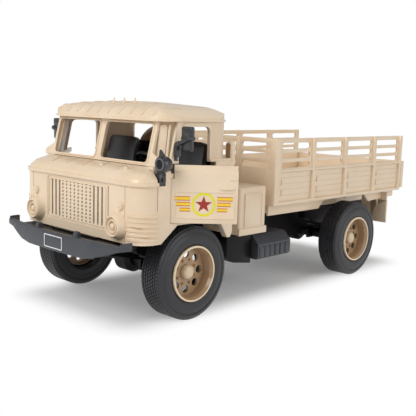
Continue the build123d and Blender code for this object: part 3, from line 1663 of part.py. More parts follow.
leaf_dir = (-cos(radians(door_open)), sin(radians(door_open)), 0)
out_dir = (sin(radians(door_open)), cos(radians(door_open)), 0)
hinge_point = (sx(hinge_x), hinge_y, 0)


def leaf_section(along):
    # plane across the leaf: local x runs inwards, local y is Z
    origin = (hinge_point[0] + along * leaf_dir[0], hinge_point[1] + along * leaf_dir[1], 0)
    return Plane(origin=origin, x_dir=(-out_dir[0], -out_dir[1], 0), z_dir=leaf_dir)


def leaf_face(outwards):
    # plane on the leaf's skin: local x runs back from the hinge, local y is Z
    origin = (hinge_point[0] + outwards * out_dir[0], hinge_point[1] + outwards * out_dir[1], 0)
    return Plane(origin=origin, x_dir=leaf_dir, z_dir=out_dir)


with BuildPart() as door_left:
    leaf_end = door_length - hinge_radius
    strip_in = side_profile_in - hinge_radius
    with BuildSketch(leaf_section(0)):
        outline([
            (-hinge_radius, door_bottom_z),
            (-hinge_radius, ledge_z - wall / 2),
            (hinge_radius, ledge_z + fit_gap),
            (hinge_radius, door_bottom_z),
        ])
    extrude(amount=leaf_end)
    with BuildSketch(leaf_section(ear_notch)):
        outline([
            (-hinge_radius, ledge_z - wall),
            (-hinge_radius, ledge_z - wall / 2),
            (strip_in, ledge_z + wall / 2),
            (strip_in, door_top_z - move_gap),
            (strip_in + wall, door_top_z - move_gap),
            (strip_in + wall, ledge_z),
            (hinge_radius, ledge_z - wall),
        ])
    extrude(amount=leaf_end - ear_notch)
    with BuildSketch(Plane(origin=(hinge_point[0], hinge_point[1], door_bottom_z))):
        Circle(hinge_radius)
    extrude(amount=ear_bottom_z - move_gap - door_bottom_z)
    with BuildSketch(leaf_face(hinge_radius + overrun)):
        box_face(-hinge_radius - overrun, ear_notch, ear_bottom_z - move_gap, door_top_z + overrun)
    extrude(amount=-2 * (hinge_radius + overrun) - side_profile_in, mode=Mode.SUBTRACT)
    with BuildSketch(Plane(origin=(hinge_point[0], hinge_point[1], door_bottom_z - pin_length))):
        Circle(pin_radius)
    extrude(amount=ear_bottom_z - move_gap - door_bottom_z + 2 * pin_length + move_gap)
    with BuildSketch(leaf_face(hinge_radius)):
        with Locations(((leaf_end + hinge_radius) / 2, (panel_bottom_z + panel_top_z) / 2)):
            RectangleRounded(leaf_end - hinge_radius - 2 * panel_inset, panel_top_z - panel_bottom_z,
                             panel_round)
            RectangleRounded(leaf_end - hinge_radius - 2 * panel_inset - 2 * panel_rise,
                             panel_top_z - panel_bottom_z - 2 * panel_rise,
                             panel_round - panel_rise, mode=Mode.SUBTRACT)
    extrude(amount=panel_rise)
    with BuildSketch(leaf_face(hinge_radius)):
        box_face(leaf_end - handle_inset - handle_width, leaf_end - handle_inset,
                 handle_z, handle_z + handle_height)
    extrude(amount=handle_rise)
save(door_left, "door_left")

with BuildPart() as door_right:
    mirror(door_left.part, about=Plane.XZ)
save(door_right, "door_right")
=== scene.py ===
import json
import math

import bmesh
import bpy
from mathutils import Matrix, Quaternion, Vector


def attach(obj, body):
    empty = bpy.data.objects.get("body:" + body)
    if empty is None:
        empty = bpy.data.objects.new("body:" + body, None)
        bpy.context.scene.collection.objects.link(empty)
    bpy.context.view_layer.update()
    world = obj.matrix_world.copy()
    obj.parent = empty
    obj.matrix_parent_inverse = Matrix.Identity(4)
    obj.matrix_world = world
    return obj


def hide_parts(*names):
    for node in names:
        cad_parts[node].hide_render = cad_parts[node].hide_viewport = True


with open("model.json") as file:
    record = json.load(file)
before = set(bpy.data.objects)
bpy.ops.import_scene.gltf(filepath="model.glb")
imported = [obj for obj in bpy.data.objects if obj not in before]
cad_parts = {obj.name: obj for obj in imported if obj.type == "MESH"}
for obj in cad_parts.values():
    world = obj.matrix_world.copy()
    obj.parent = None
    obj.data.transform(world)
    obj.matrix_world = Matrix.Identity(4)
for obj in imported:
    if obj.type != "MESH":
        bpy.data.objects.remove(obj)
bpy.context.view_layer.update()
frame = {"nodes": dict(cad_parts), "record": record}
record = frame["record"]
mm = 0.001
frontAxle = 116  # mm from the frame's middle; stations along the truck count from here
axleHeight = 33  # mm
wheelStations = {"front": 0, "rear": -206}
roundAngle = 40  # degrees: on round pieces, edges flatter than this are shaded smooth
print("frame loaded:", len(frame["nodes"]), "nodes")


def at(station, side, height):
    return Vector(((station + frontAxle) * mm, side * mm, height * mm))


def deselectAll():
    if bpy.context.object and bpy.context.object.mode != "OBJECT":
        bpy.ops.object.mode_set(mode="OBJECT")
    bpy.ops.object.select_all(action="DESELECT")


def pick(*pieces):
    deselectAll()
    for piece in pieces:
        piece.select_set(True)
    bpy.context.view_layer.objects.active = pieces[0]


def editing(piece):
    pick(piece)
    bpy.ops.object.mode_set(mode="EDIT")
    bpy.ops.mesh.select_mode(type="VERT")
    bpy.ops.mesh.select_all(action="SELECT")


def doneEditing():
    bpy.ops.object.mode_set(mode="OBJECT")


def settle(piece):
    # place and turn go into the mesh, so the object sits at the origin
    pick(piece)
    bpy.ops.object.transform_apply(location=True, rotation=True, scale=True)
    return piece


def applyAll(piece):
    pick(piece)
    for modifier in list(piece.modifiers):
        bpy.ops.object.modifier_apply(modifier=modifier.name)
    return piece


def addBevel(piece, width, segments=2, degrees=28):
    modifier = piece.modifiers.new("bevel", "BEVEL")
    modifier.width = width
    modifier.segments = segments
    modifier.limit_method = "ANGLE"
    modifier.angle_limit = math.radians(degrees)
    return modifier


def smoothByAngle(piece, degrees=34):
    pick(piece)
    bpy.ops.object.shade_smooth_by_angle(angle=math.radians(degrees))
    return piece


def finishPiece(piece, body, material, replaced=()):
    piece.data.materials.clear()
    piece.data.materials.append(material)
    for polygon in piece.data.polygons:
        polygon.material_index = 0
    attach(piece, body)
    if replaced:
        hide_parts(*replaced)
    return piece


def selectFaces(piece, test):
    # in edit mode: faces whose middle and normal pass the test
    bpy.ops.mesh.select_mode(type="FACE")
    bpy.ops.mesh.select_all(action="DESELECT")
    mesh = bmesh.from_edit_mesh(piece.data)
    for face in mesh.faces:
        face.select_set(bool(test(face.calc_center_median(), face.normal)))
    bmesh.update_edit_mesh(piece.data)


def selectPoints(piece, test):
    # in edit mode: vertices whose place passes the test
    bpy.ops.mesh.select_mode(type="VERT")
    bpy.ops.mesh.select_all(action="DESELECT")
    mesh = bmesh.from_edit_mesh(piece.data)
    for point in mesh.verts:
        point.select_set(bool(test(point.co)))
    mesh.select_flush(True)
    bmesh.update_edit_mesh(piece.data)


def joined(name, pieces):
    pick(*pieces)
    if len(pieces) > 1:
        bpy.ops.object.join()
    piece = bpy.context.object
    piece.name = name
    return piece


def copied(piece, matrix):
    pick(piece)
    bpy.ops.object.duplicate()
    copy = bpy.context.object
    copy.matrix_world = matrix @ copy.matrix_world
    return settle(copy)


def shifted(piece, station=0, side=0, height=0):
    return copied(piece, Matrix.Translation((station * mm, side * mm, height * mm)))


def mirrored(piece):
    copy = copied(piece, Matrix.Diagonal((1, -1, 1, 1)))
    editing(copy)
    bpy.ops.mesh.normals_make_consistent(inside=False)
    doneEditing()
    return copy


def laid(piece, origin, right, up):
    # a piece drawn flat on XY goes onto a plane given by its two directions
    right, up = Vector(right).normalized(), Vector(up).normalized()
    out = right.cross(up)
    turn = Matrix((right, up, out)).transposed().to_4x4()
    piece.matrix_world = Matrix.Translation(origin) @ turn @ piece.matrix_world
    return settle(piece)


def bar(name, low, high, bevel=0.0, segments=2):
    # a bar between two corners (station, side, height) in mm, its edges bevelled
    first, last = at(*low), at(*high)
    bpy.ops.mesh.primitive_cube_add(size=1, location=(first + last) / 2)
    piece = bpy.context.object
    piece.name = name
    piece.scale = [abs(b - a) for a, b in zip(first, last)]
    settle(piece)
    if bevel:
        editing(piece)
        bpy.ops.mesh.bevel(offset=bevel * mm, segments=segments, affect="EDGES")
        doneEditing()
    return piece


def lathe(name, profile, place, along=(0, 0, 1), steps=48):
    # profile of (radius, distance along the axis) in mm, drawn point by point and spun
    bpy.ops.mesh.primitive_plane_add(size=mm)
    piece = bpy.context.object
    piece.name = name
    editing(piece)
    bpy.ops.mesh.merge(type="CENTER")
    before = (0, 0)
    for number, point in enumerate(profile):
        step = ((point[0] - before[0]) * mm, 0, (point[1] - before[1]) * mm)
        if number == 0:
            bpy.ops.transform.translate(value=step)
        else:
            bpy.ops.mesh.extrude_region_move(TRANSFORM_OT_translate={"value": step})
        before = point
    bpy.ops.mesh.select_all(action="SELECT")
    bpy.ops.mesh.spin(steps=steps, angle=2 * math.pi, center=(0, 0, 0), axis=(0, 0, 1))
    bpy.ops.mesh.select_all(action="SELECT")
    bpy.ops.mesh.remove_doubles(threshold=0.002 * mm)
    bpy.ops.mesh.normals_make_consistent(inside=False)
    doneEditing()
    piece.rotation_mode = "QUATERNION"
    piece.rotation_quaternion = Vector((0, 0, 1)).rotation_difference(Vector(along))
    piece.location = place
    return settle(piece)


def thicken(rise):
    # in edit mode: the whole flat piece is drawn up along Z into a solid, by a rise in mm
    bpy.ops.mesh.select_all(action="SELECT")
    bpy.ops.mesh.extrude_region_move(TRANSFORM_OT_translate={"value": (0, 0, rise * mm)})
    bpy.ops.mesh.select_all(action="SELECT")
    bpy.ops.mesh.normals_make_consistent(inside=False)
    doneEditing()


def rimRing(name, halfWide, halfHigh, corner, width, rise, segments=5):
    # a raised rounded frame drawn flat on XY, its inside left open
    bpy.ops.mesh.primitive_plane_add(size=2)
    piece = bpy.context.object
    piece.name = name
    piece.scale = (halfWide * mm, halfHigh * mm, 1)
    settle(piece)
    editing(piece)
    bpy.ops.mesh.bevel(offset=corner * mm, segments=segments, affect="VERTICES")
    bpy.ops.mesh.select_all(action="SELECT")
    bpy.ops.mesh.inset(thickness=width * mm, depth=0)
    bpy.ops.mesh.delete(type="FACE")
    thicken(rise)
    return piece


def copyOfNode(node, name):
    # a merged copy of a CAD node's mesh, its flat faces joined up again
    pick(frame["nodes"][node])
    bpy.ops.object.duplicate()
    piece = bpy.context.object
    piece.name = name
    piece.parent = None
    for key in list(piece.keys()):
        del piece[key]
    editing(piece)
    bpy.ops.mesh.remove_doubles(threshold=0.01 * mm)
    bpy.ops.mesh.dissolve_limited(angle_limit=math.radians(0.6))
    doneEditing()
    return piece


class Link:
    # one shader socket, so that maths on it reads as an expression
    def __init__(self, shader, socket):
        self.shader = shader
        self.socket = socket

    def maths(self, operation, first, second=None):
        values = {0: first} if second is None else {0: first, 1: second}
        return self.shader.node("ShaderNodeMath", {"operation": operation}, values)

    def __add__(self, other):
        return self.maths("ADD", self, other)

    def __radd__(self, other):
        return self.maths("ADD", other, self)

    def __sub__(self, other):
        return self.maths("SUBTRACT", self, other)

    def __rsub__(self, other):
        return self.maths("SUBTRACT", other, self)

    def __mul__(self, other):
        return self.maths("MULTIPLY", self, other)

    def __rmul__(self, other):
        return self.maths("MULTIPLY", other, self)

    def __truediv__(self, other):
        return self.maths("DIVIDE", self, other)

    def __pow__(self, other):
        return self.maths("POWER", self, other)

    def clamped(self):
        return self.shader.node("ShaderNodeClamp", {}, {"Value": self})


class Shader:
    def __init__(self, name):
        self.material = bpy.data.materials.new(name)
        self.material.use_nodes = True
        self.tree = self.material.node_tree
        self.tree.nodes.clear()
        self.surface = self.tree.nodes.new("ShaderNodeBsdfPrincipled")
        self.output = self.tree.nodes.new("ShaderNodeOutputMaterial")
        self.tree.links.new(self.surface.outputs[0], self.output.inputs["Surface"])

    def node(self, kind, settings, values, output=0):
        made = self.tree.nodes.new(kind)
        for key, value in settings.items():
            setattr(made, key, value)
        for key, value in values.items():
            self.feed(made.inputs[key], value)
        return Link(self, made.outputs[output])

    def feed(self, socket, value):
        if isinstance(value, Link):
            self.tree.links.new(value.socket, socket)
        elif isinstance(value, tuple) and len(value) == 3 and socket.type == "RGBA":
            socket.default_value = (*value, 1)
        else:
            socket.default_value = value

    def place(self, scale=(1, 1, 1), move=(0, 0, 0)):
        where = self.node("ShaderNodeTexCoord", {}, {}, "Object")
        return self.node("ShaderNodeMapping", {}, {"Vector": where, "Scale": scale, "Location": move})

    def split(self, vector):
        made = self.tree.nodes.new("ShaderNodeSeparateXYZ")
        self.feed(made.inputs[0], vector)
        return [Link(self, made.outputs[axis]) for axis in range(3)]

    def noise(self, scale, detail=3, rough=0.5, where=None):
        return self.node("ShaderNodeTexNoise", {}, {
            "Vector": where or self.place(), "Scale": scale, "Detail": detail, "Roughness": rough})

    def blend(self, factor, first, second):
        return self.node("ShaderNodeMix", {"data_type": "RGBA"}, {0: factor, 6: first, 7: second}, 2)

    def bump(self, height, strength, distance):
        return self.node("ShaderNodeBump", {}, {
            "Height": height, "Strength": strength, "Distance": distance})

    def set(self, **values):
        for key, value in values.items():
            self.feed(self.surface.inputs[key.replace("_", " ")], value)
        return self.material


def linear(red, green, blue):
    # 0 to 255 display values to the shader's linear ones
    return tuple((v / 255 / 12.92) if v <= 10 else ((v / 255 + 0.055) / 1.055) ** 2.4
                 for v in (red, green, blue))


# display colours, with how rough, grained, coated and glossy each plastic is; grainDepth is in m
plasticLook = {
    "sand": {"colour": (235, 214, 186), "worn": (227, 200, 166), "rough": 0.34,
             "grainDepth": 0.00003, "coat": 0.25, "gloss": 0.5},
    "black": {"colour": (15, 12, 14), "worn": (25, 22, 25), "rough": 0.45,
              "grainDepth": 0.00005, "coat": 0.0, "gloss": 0.2},
    "bumper": {"colour": (62, 64, 70), "worn": (74, 76, 82), "rough": 0.42,
               "grainDepth": 0.00004, "coat": 0.0, "gloss": 0.5},
    "mirror": {"colour": (46, 47, 52), "worn": (25, 22, 25), "rough": 0.28,
               "grainDepth": 0.00003, "coat": 0.4, "gloss": 0.5},
    "seat": {"colour": (52, 53, 58), "worn": (62, 63, 68), "rough": 0.3,
             "grainDepth": 0.00008, "coat": 0.35, "gloss": 0.5},
}
# each noise is (scale, detail, roughness)
grainLook = {
    "mottle": (34, 4, 0.55),
    "fine": (2600, 2, 0.6),
    "flow": (9, 2, 0.5),
    "flowStretch": (1, 1, 3),
    "mottleStart": 0.42,
    "mottleGain": 2.2,
    "flowGain": 0.8,
    "mottleRough": 0.16,
    "fineRough": 0.08,
    "coatRough": 0.25,
    "bump": 0.25,
}
noiseMiddle = 0.5


def mouldedPlastic(name, look):
    grain = grainLook
    shader = Shader(name)
    mottle = shader.noise(*grain["mottle"])
    fine = shader.noise(*grain["fine"])
    flow = shader.noise(*grain["flow"], shader.place(grain["flowStretch"]))
    mix = ((mottle - grain["mottleStart"]) * grain["mottleGain"]
           + (flow - noiseMiddle) * grain["flowGain"]).clamped()
    rough = (look["rough"] + (mottle - noiseMiddle) * grain["mottleRough"]
             + (fine - noiseMiddle) * grain["fineRough"])
    return shader.set(
        Base_Color=shader.blend(mix, linear(*look["colour"]), linear(*look["worn"])),
        Roughness=rough,
        Coat_Weight=look["coat"],
        Coat_Roughness=grain["coatRough"],
        Specular_IOR_Level=look["gloss"],
        Normal=shader.bump(fine, grain["bump"], look["grainDepth"]))


sandPlastic = mouldedPlastic("sandPlastic", plasticLook["sand"])
blackPlastic = mouldedPlastic("blackPlastic", plasticLook["black"])
bumperPlastic = mouldedPlastic("bumperPlastic", plasticLook["bumper"])
mirrorPlastic = mouldedPlastic("mirrorPlastic", plasticLook["mirror"])
seatPlastic = mouldedPlastic("seatPlastic", plasticLook["seat"])


# lip and cap: radius in m and how sharply it ends, then distance to the side and how sharply
rimLook = {
    "paleColour": (247, 226, 192),
    "dishColour": (190, 158, 122),
    "dishDark": (164, 134, 102),
    "lip": (0.0184, 9000, 0.0712, 6000),
    "cap": (0.0056, 6000, 0.0648, 4000),
    # the cap's share of the pale colour is a painted highlight
    "capHighlight": 0.75,
    "mottle": (90, 4, 0.6),
    "fine": (1500, 2, 0.5),
    "rough": 0.24,
    "mottleRough": 0.12,
    "paleRough": 0.1,
    "coat": 0.3,
    "coatRough": 0.15,
    "bump": 0.2,
    "grainDepth": 0.00002,
}


def rimFinish(name, station):
    # pale lip round a glossy tan dish, told apart by the distance from the axle; the hub cap in the
    # middle is painted paler as a painted highlight
    look = rimLook
    shader = Shader(name)
    axle = (-(station + frontAxle) * mm, 0, -axleHeight * mm)
    x, y, z = shader.split(shader.place(move=axle))
    radius = (x * x + z * z) ** 0.5
    side = shader.node("ShaderNodeMath", {"operation": "ABSOLUTE"}, {0: y})
    lipRadius, lipSharp, lipSide, lipSideSharp = look["lip"]
    capRadius, capSharp, capSide, capSideSharp = look["cap"]
    lip = ((radius - lipRadius) * lipSharp).clamped() * ((side - lipSide) * lipSideSharp).clamped()
    within = 1 - ((radius - capRadius) * capSharp).clamped()
    cap = within * ((side - capSide) * capSideSharp).clamped()
    pale = (lip + cap * look["capHighlight"]).clamped()
    mottle = shader.noise(*look["mottle"])
    dish = shader.blend(mottle, linear(*look["dishColour"]), linear(*look["dishDark"]))
    fine = shader.noise(*look["fine"])
    return shader.set(
        Base_Color=shader.blend(pale, dish, linear(*look["paleColour"])),
        Roughness=look["rough"] + mottle * look["mottleRough"] + pale * look["paleRough"],
        Coat_Weight=look["coat"],
        Coat_Roughness=look["coatRough"],
        Normal=shader.bump(fine, look["bump"], look["grainDepth"]))


frontRimPaint = rimFinish("frontRimPaint", wheelStations["front"])
rearRimPaint = rimFinish("rearRimPaint", wheelStations["rear"])


rubberLook = {
    "colour": (35, 35, 39),
    "worn": (44, 44, 48),
    "mottle": (60, 4, 0.6),
    "fine": (1900, 3, 0.6),
    "mottleGain": 1.6,
    "mottleStart": 0.3,
    "rough": 0.42,
    "mottleRough": 0.2,
    "bump": 0.35,
    "grainDepth": 0.00006,
}


def rubber(name, look):
    shader = Shader(name)
    mottle = shader.noise(*look["mottle"])
    fine = shader.noise(*look["fine"])
    mix = (mottle * look["mottleGain"] - look["mottleStart"]).clamped()
    return shader.set(
        Base_Color=shader.blend(mix, linear(*look["colour"]), linear(*look["worn"])),
        Roughness=look["rough"] + (mottle - noiseMiddle) * look["mottleRough"],
        Normal=shader.bump(fine, look["bump"], look["grainDepth"]))


wallRubber = rubber("wallRubber", rubberLook)


# display colour and roughness of each sticker and painted detail, and of the painted shade in seams and
# openings
paintLook = {
    "decalYellow": ((236, 226, 52), 0.4),
    "decalGold": ((252, 214, 52), 0.4),
    "decalRed": ((163, 48, 36), 0.4),
    "decalRust": ((206, 112, 52), 0.4),
    "plateWhite": ((236, 238, 240), 0.4),
    "lampRing": ((92, 94, 100), 0.26),
    "lensBlack": ((5, 5, 6), 0.75),
    # painted shade: a brown shade colour laid on the nose seams, the grille's gap and the scoops'
    # mouths
    "seamShade": ((150, 120, 92), 0.6),
}
paintGrain = {
    "patches": (420, 3, 0.6),
    "patchRough": 0.1,
    "wear": 0.1,
}


def paint(name):
    colour, roughness = paintLook[name]
    shader = Shader(name)
    patches = shader.noise(*paintGrain["patches"])
    worn = tuple(v * (1 - paintGrain["wear"]) for v in linear(*colour))
    return shader.set(Base_Color=shader.blend(patches, linear(*colour), worn),
                      Roughness=roughness + (patches - noiseMiddle) * paintGrain["patchRough"])


paints = {name: paint(name) for name in paintLook}


steelLook = {
    "colour": (188, 188, 190),
    "turned": (700, 2, 0.5),
    "stretch": (0.1, 6, 0.1),
    "rough": 0.28,
    "turnedRough": 0.15,
}


def steel(name):
    look = steelLook
    shader = Shader(name)
    turned = shader.noise(*look["turned"], shader.place(look["stretch"]))
    return shader.set(Base_Color=linear(*look["colour"]), Metallic=1.0,
                      Roughness=look["rough"] + turned * look["turnedRough"])


brightSteel = steel("brightSteel")
print("materials made")


stageLook = {
    "floorSize": 6.0,
    "floorAlbedo": 0.8,
    "floorRough": 0.95,
    "floorGlow": 0.14,
    "footprint": (0.15, 0.045),
    "clearOver": 0.04,
    "worldStrength": 0.5,
    "keyPower": 18.2,
    "keySize": 1.0,
    "keyPlace": (1.6, 0.0, 1.15),
    "fillPower": 9.0,
    "fillSize": 1.2,
    "fillPlace": (-0.5, 1.8, 0.7),
    "aimHeight": 0.06,
}


def seenRays(shader):
    # 1 for the camera and for what gloss and glass show, 0 for the light itself
    path = shader.tree.nodes.new("ShaderNodeLightPath")
    camera, gloss, glass = (Link(shader, path.outputs[ray]) for ray in (
        "Is Camera Ray", "Is Glossy Ray", "Is Transmission Ray"))
    return (camera + gloss + glass).clamped()


def makeStage():
    bpy.ops.mesh.primitive_plane_add(size=stageLook["floorSize"])
    floor = bpy.context.object
    floor.name = "floor"
    shader = Shader("floorPaper")
    tree = shader.tree
    shader.set(Base_Color=(stageLook["floorAlbedo"],) * 3, Roughness=stageLook["floorRough"],
               Specular_IOR_Level=0.0)
    seen = seenRays(shader)
    glow = tree.nodes.new("ShaderNodeEmission")
    lit = tree.nodes.new("ShaderNodeAddShader")
    clear = tree.nodes.new("ShaderNodeEmission")
    both = tree.nodes.new("ShaderNodeMixShader")
    x, y, z = shader.split(shader.place())
    # how far a point lies outside the truck's footprint, along and across
    halfLong, halfAcross = stageLook["footprint"]
    beyond = [(x * x) ** 0.5 - halfLong, (y * y) ** 0.5 - halfAcross]
    beyond = [shader.node("ShaderNodeMath", {"operation": "MAXIMUM"}, {0: one, 1: 0.0})
              for one in beyond]
    far = (beyond[0] * beyond[0] + beyond[1] * beyond[1]) ** 0.5 / stageLook["clearOver"]
    clearing = shader.node("ShaderNodeMapRange", {"interpolation_type": "SMOOTHSTEP"}, {"Value": far})
    shader.feed(glow.inputs["Strength"], seen * stageLook["floorGlow"])
    shader.feed(both.inputs["Fac"], clearing * seen)
    tree.links.new(shader.surface.outputs[0], lit.inputs[0])
    tree.links.new(glow.outputs[0], lit.inputs[1])
    tree.links.new(lit.outputs[0], both.inputs[1])
    tree.links.new(clear.outputs[0], both.inputs[2])
    tree.links.new(both.outputs[0], shader.output.inputs["Surface"])
    floor.data.materials.append(shader.material)


def makeWorld():
    world = bpy.data.worlds.new("studio")
    bpy.context.scene.world = world
    world.use_nodes = True
    nodes, links = world.node_tree.nodes, world.node_tree.links
    nodes.clear()
    path = nodes.new("ShaderNodeLightPath")
    either = nodes.new("ShaderNodeMath")
    either.operation = "MAXIMUM"
    sky = nodes.new("ShaderNodeBackground")
    white = nodes.new("ShaderNodeBackground")
    mix = nodes.new("ShaderNodeMixShader")
    out = nodes.new("ShaderNodeOutputWorld")
    for light, strength in ((sky, stageLook["worldStrength"]), (white, 1.0)):
        light.inputs["Color"].default_value = (1, 1, 1, 1)
        light.inputs["Strength"].default_value = strength
    links.new(path.outputs["Is Camera Ray"], either.inputs[0])
    links.new(path.outputs["Is Transmission Ray"], either.inputs[1])
    links.new(either.outputs[0], mix.inputs["Fac"])
    links.new(sky.outputs[0], mix.inputs[1])
    links.new(white.outputs[0], mix.inputs[2])
    links.new(mix.outputs[0], out.inputs["Surface"])


def makeLamps():
    for name in ("key", "fill"):
        bpy.ops.object.light_add(type="AREA", location=stageLook[name + "Place"])
        lamp = bpy.context.object
        lamp.name = name + "Light"
        lamp.data.energy = stageLook[name + "Power"]
        lamp.data.size = stageLook[name + "Size"]
        aim = Vector((0, 0, stageLook["aimHeight"])) - lamp.location
        lamp.rotation_mode = "QUATERNION"
        lamp.rotation_quaternion = aim.to_track_quat("-Z", "Y")


cameraLook = {
    "place": (0.445427, 0.400097, 0.149831),
    "aim": (-0.712912, -0.685012, -0.150049),
    "roll": 0.03189,
    "lens": 59.68,
    "sensor": 36,
    "clipStart": 0.01,
}


def makeCamera():
    bpy.ops.object.camera_add(location=cameraLook["place"])
    camera = bpy.context.object
    camera.name = "photoCamera"
    camera.data.sensor_width = cameraLook["sensor"]
    camera.data.lens = cameraLook["lens"]
    camera.data.clip_start = cameraLook["clipStart"]
    camera.rotation_mode = "QUATERNION"
    look = Vector(cameraLook["aim"]).to_track_quat("-Z", "Y")
    camera.rotation_quaternion = look @ Quaternion((0, 0, 1), cameraLook["roll"])
    bpy.context.scene.camera = camera


bpy.context.scene.view_settings.view_transform = "Standard"
makeStage()
makeWorld()
makeLamps()
makeCamera()
print("stage, lights and camera set")


bodyOf = {}
for bodyName, members in record["behaviour"]["bodies"].items():
    for member in members:
        bodyOf[member] = bodyName

slotOf = {row["node"]: row["material_slot"] for row in record["subparts"]}
slotMaterial = {
    "body_shell": sandPlastic,
    "black_trim": blackPlastic,
    "bumper_grey": bumperPlastic,
    "tyre": wallRubber,
    "rim": frontRimPaint,
    "steel": brightSteel,
}
ownMaterial = {
    "rim_rear_left": rearRimPaint, "rim_rear_right": rearRimPaint, "seats": seatPlastic,
}

# how far each softened copy's edges are rounded, in mm
softEdges = {
    "cab_side_left": 0.3, "cab_side_right": 0.3, "cab_upper_left": 0.3, "cab_upper_right": 0.3,
    "cab_rear_wall": 0.3, "windscreen_frame": 0.4, "side_boxes": 0.6, "headboard": 0.3,
    "bed_side_left": 0.35, "bed_side_right": 0.35, "tailgate": 0.35, "door_left": 0.3,
    "door_right": 0.3, "bumper": 0.5, "step_boxes": 0.5,
    "spare_wheel": 0.6, "mud_flaps": 0.3, "seats": 0.9, "dashboard": 0.8, "engine_box": 0.5,
    "cab_tub": 0.3, "roof": 0.2, "cowl": 0.2, "bed_sills": 0.2,
    "bed_skirts": 0.2, "bed_bearers": 0.2,
}


# the bumper's lower edge climbs toward its ends: beyond each side distance it rises this far, in mm
bumperLook = {
    "taper": [(44.0, 2.0), (54.0, 2.6), (64.0, 3.6)],
    "lowerBelow": 54.5,
}


def taperBumper(piece):
    editing(piece)
    below = bumperLook["lowerBelow"] * mm
    for side, rise in bumperLook["taper"]:
        selectPoints(piece, lambda co: abs(co.y) > side * mm and co.z < below)
        bpy.ops.transform.translate(value=(0, 0, rise * mm))
    doneEditing()


def softenShells():
    for node, width in softEdges.items():
        piece = copyOfNode(node, node + "_shell")
        if node == "bumper":
            taperBumper(piece)
        addBevel(piece, width * mm)
        applyAll(piece)
        smoothByAngle(piece)
        material = ownMaterial.get(node, slotMaterial[slotOf[node]])
        finishPiece(piece, bodyOf[node], material, [node])


softenShells()
print("shells softened")


tyreLook = {
    "radius": 33.0,
    "base": 32.25,
    "blockRise": 0.7,
    "blockGap": 0.22,
    "middle": 62.5,
    "steps": 84,
    "rows": 7,
    "treadHalf": 8.1,
    "rowGap": 0.3,
    "wall": [(19.3, 8.7), (20.3, 9.4), (22.4, 9.85), (25.4, 10.0), (27.9, 9.6), (28.4, 9.25),
             (28.9, 9.25), (29.3, 9.65), (30.6, 9.5), (31.7, 9.0), (32.2, 8.45)],
    "nearBase": 0.03,
    "nearBlock": 0.15,
    "nearRow": 0.1,
}


def makeTyre():
    # sidewalls with a stepped shoulder ring, then a tread of raised blocks in staggered rows
    look = tyreLook
    pitch = 2 * look["treadHalf"] / look["rows"]
    band = []
    for row in range(look["rows"]):
        start = -look["treadHalf"] + row * pitch
        band.append((look["base"], start + look["rowGap"] / 2))
        band.append((look["base"], start + pitch - look["rowGap"] / 2))
    wall = look["wall"]
    inner = [(radius, -height) for radius, height in wall]
    profile = inner + band + wall[::-1] + [inner[0]]
    tyre = lathe("tyreModel", profile, (0, 0, 0), (0, 0, 1), look["steps"])
    editing(tyre)
    halfStep = math.pi / look["steps"]
    nearBase = (look["base"] - look["nearBase"]) * mm
    nearBlock = (look["base"] - look["nearBlock"]) * mm
    for row in range(1, look["rows"], 2):
        low = (-look["treadHalf"] + row * pitch) * mm
        selectPoints(tyre, lambda co: low < co.z < low + pitch * mm and co.xy.length > nearBase)
        bpy.ops.transform.rotate(value=halfStep, orient_axis="Z", center_override=(0, 0, 0))
    middles = [(-look["treadHalf"] + (row + 0.5) * pitch) * mm for row in range(look["rows"])]
    selectFaces(tyre, lambda middle, normal: middle.xy.length > nearBlock
                and min(abs(middle.z - m) for m in middles) < look["nearRow"] * mm)
    bpy.ops.mesh.inset(thickness=look["blockGap"] * mm, depth=look["blockRise"] * mm,
                       use_individual=True)
    doneEditing()
    tyre.matrix_world = Matrix.Rotation(math.radians(90), 4, "X")
    return settle(smoothByAngle(tyre, roundAngle))


def fitTyres():
    model = makeTyre()
    for axle, station in wheelStations.items():
        for side, turned in (("left", 1), ("right", -1)):
            place = at(station, turned * tyreLook["middle"], tyreLook["radius"])
            tyre = copied(model, Matrix.Translation(place))
            tyre.name = "treaded_" + axle + "_" + side
            node = "tyre_" + axle + "_" + side
            finishPiece(tyre, bodyOf[node], wallRubber, [node])
    bpy.data.objects.remove(model)


fitTyres()
print("tyres fitted")


hubLook = {
    "face": 64.0,
    "studCircle": 8.7,
    "studs": 8,
    "capProfile": [(0, 5.0), (2.6, 4.65), (4.16, 3.9), (5.2, 2.7), (5.3, -0.3), (0, -0.3)],
    "capSteps": 40,
    "studProfile": [(0, 1.5), (0.7125, 1.5), (0.95, 1.2), (0.95, -0.3), (0, -0.3)],
    "studSides": 6,
}


def fitHubs():
    look = hubLook
    cap = lathe("cap", look["capProfile"], (0, 0, 0), steps=look["capSteps"])
    stud = lathe("stud", look["studProfile"], (look["studCircle"] * mm, 0, 0),
                 steps=look["studSides"])
    pieces = [cap]
    for number in range(look["studs"]):
        angle = 2 * math.pi * (number + 1 / 2) / look["studs"]
        pieces.append(copied(stud, Matrix.Rotation(angle, 4, "Z")))
    bpy.data.objects.remove(stud)
    model = smoothByAngle(joined("hubModel", pieces), roundAngle)
    for axle, station in wheelStations.items():
        for side, turned in (("left", 1), ("right", -1)):
            # one model serves both axles, turned over for the right side
            turn = Matrix.Rotation(math.radians(-90 * turned), 4, "X")
            place = Matrix.Translation(at(station, turned * look["face"], axleHeight))
            hub = copied(model, place @ turn)
            hub.name = "hub_" + axle + "_" + side
            node = "rim_" + axle + "_" + side
            material = frontRimPaint if axle == "front" else rearRimPaint
            finishPiece(hub, bodyOf[node], material)
    bpy.data.objects.remove(model)


fitHubs()
print("hubs fitted")


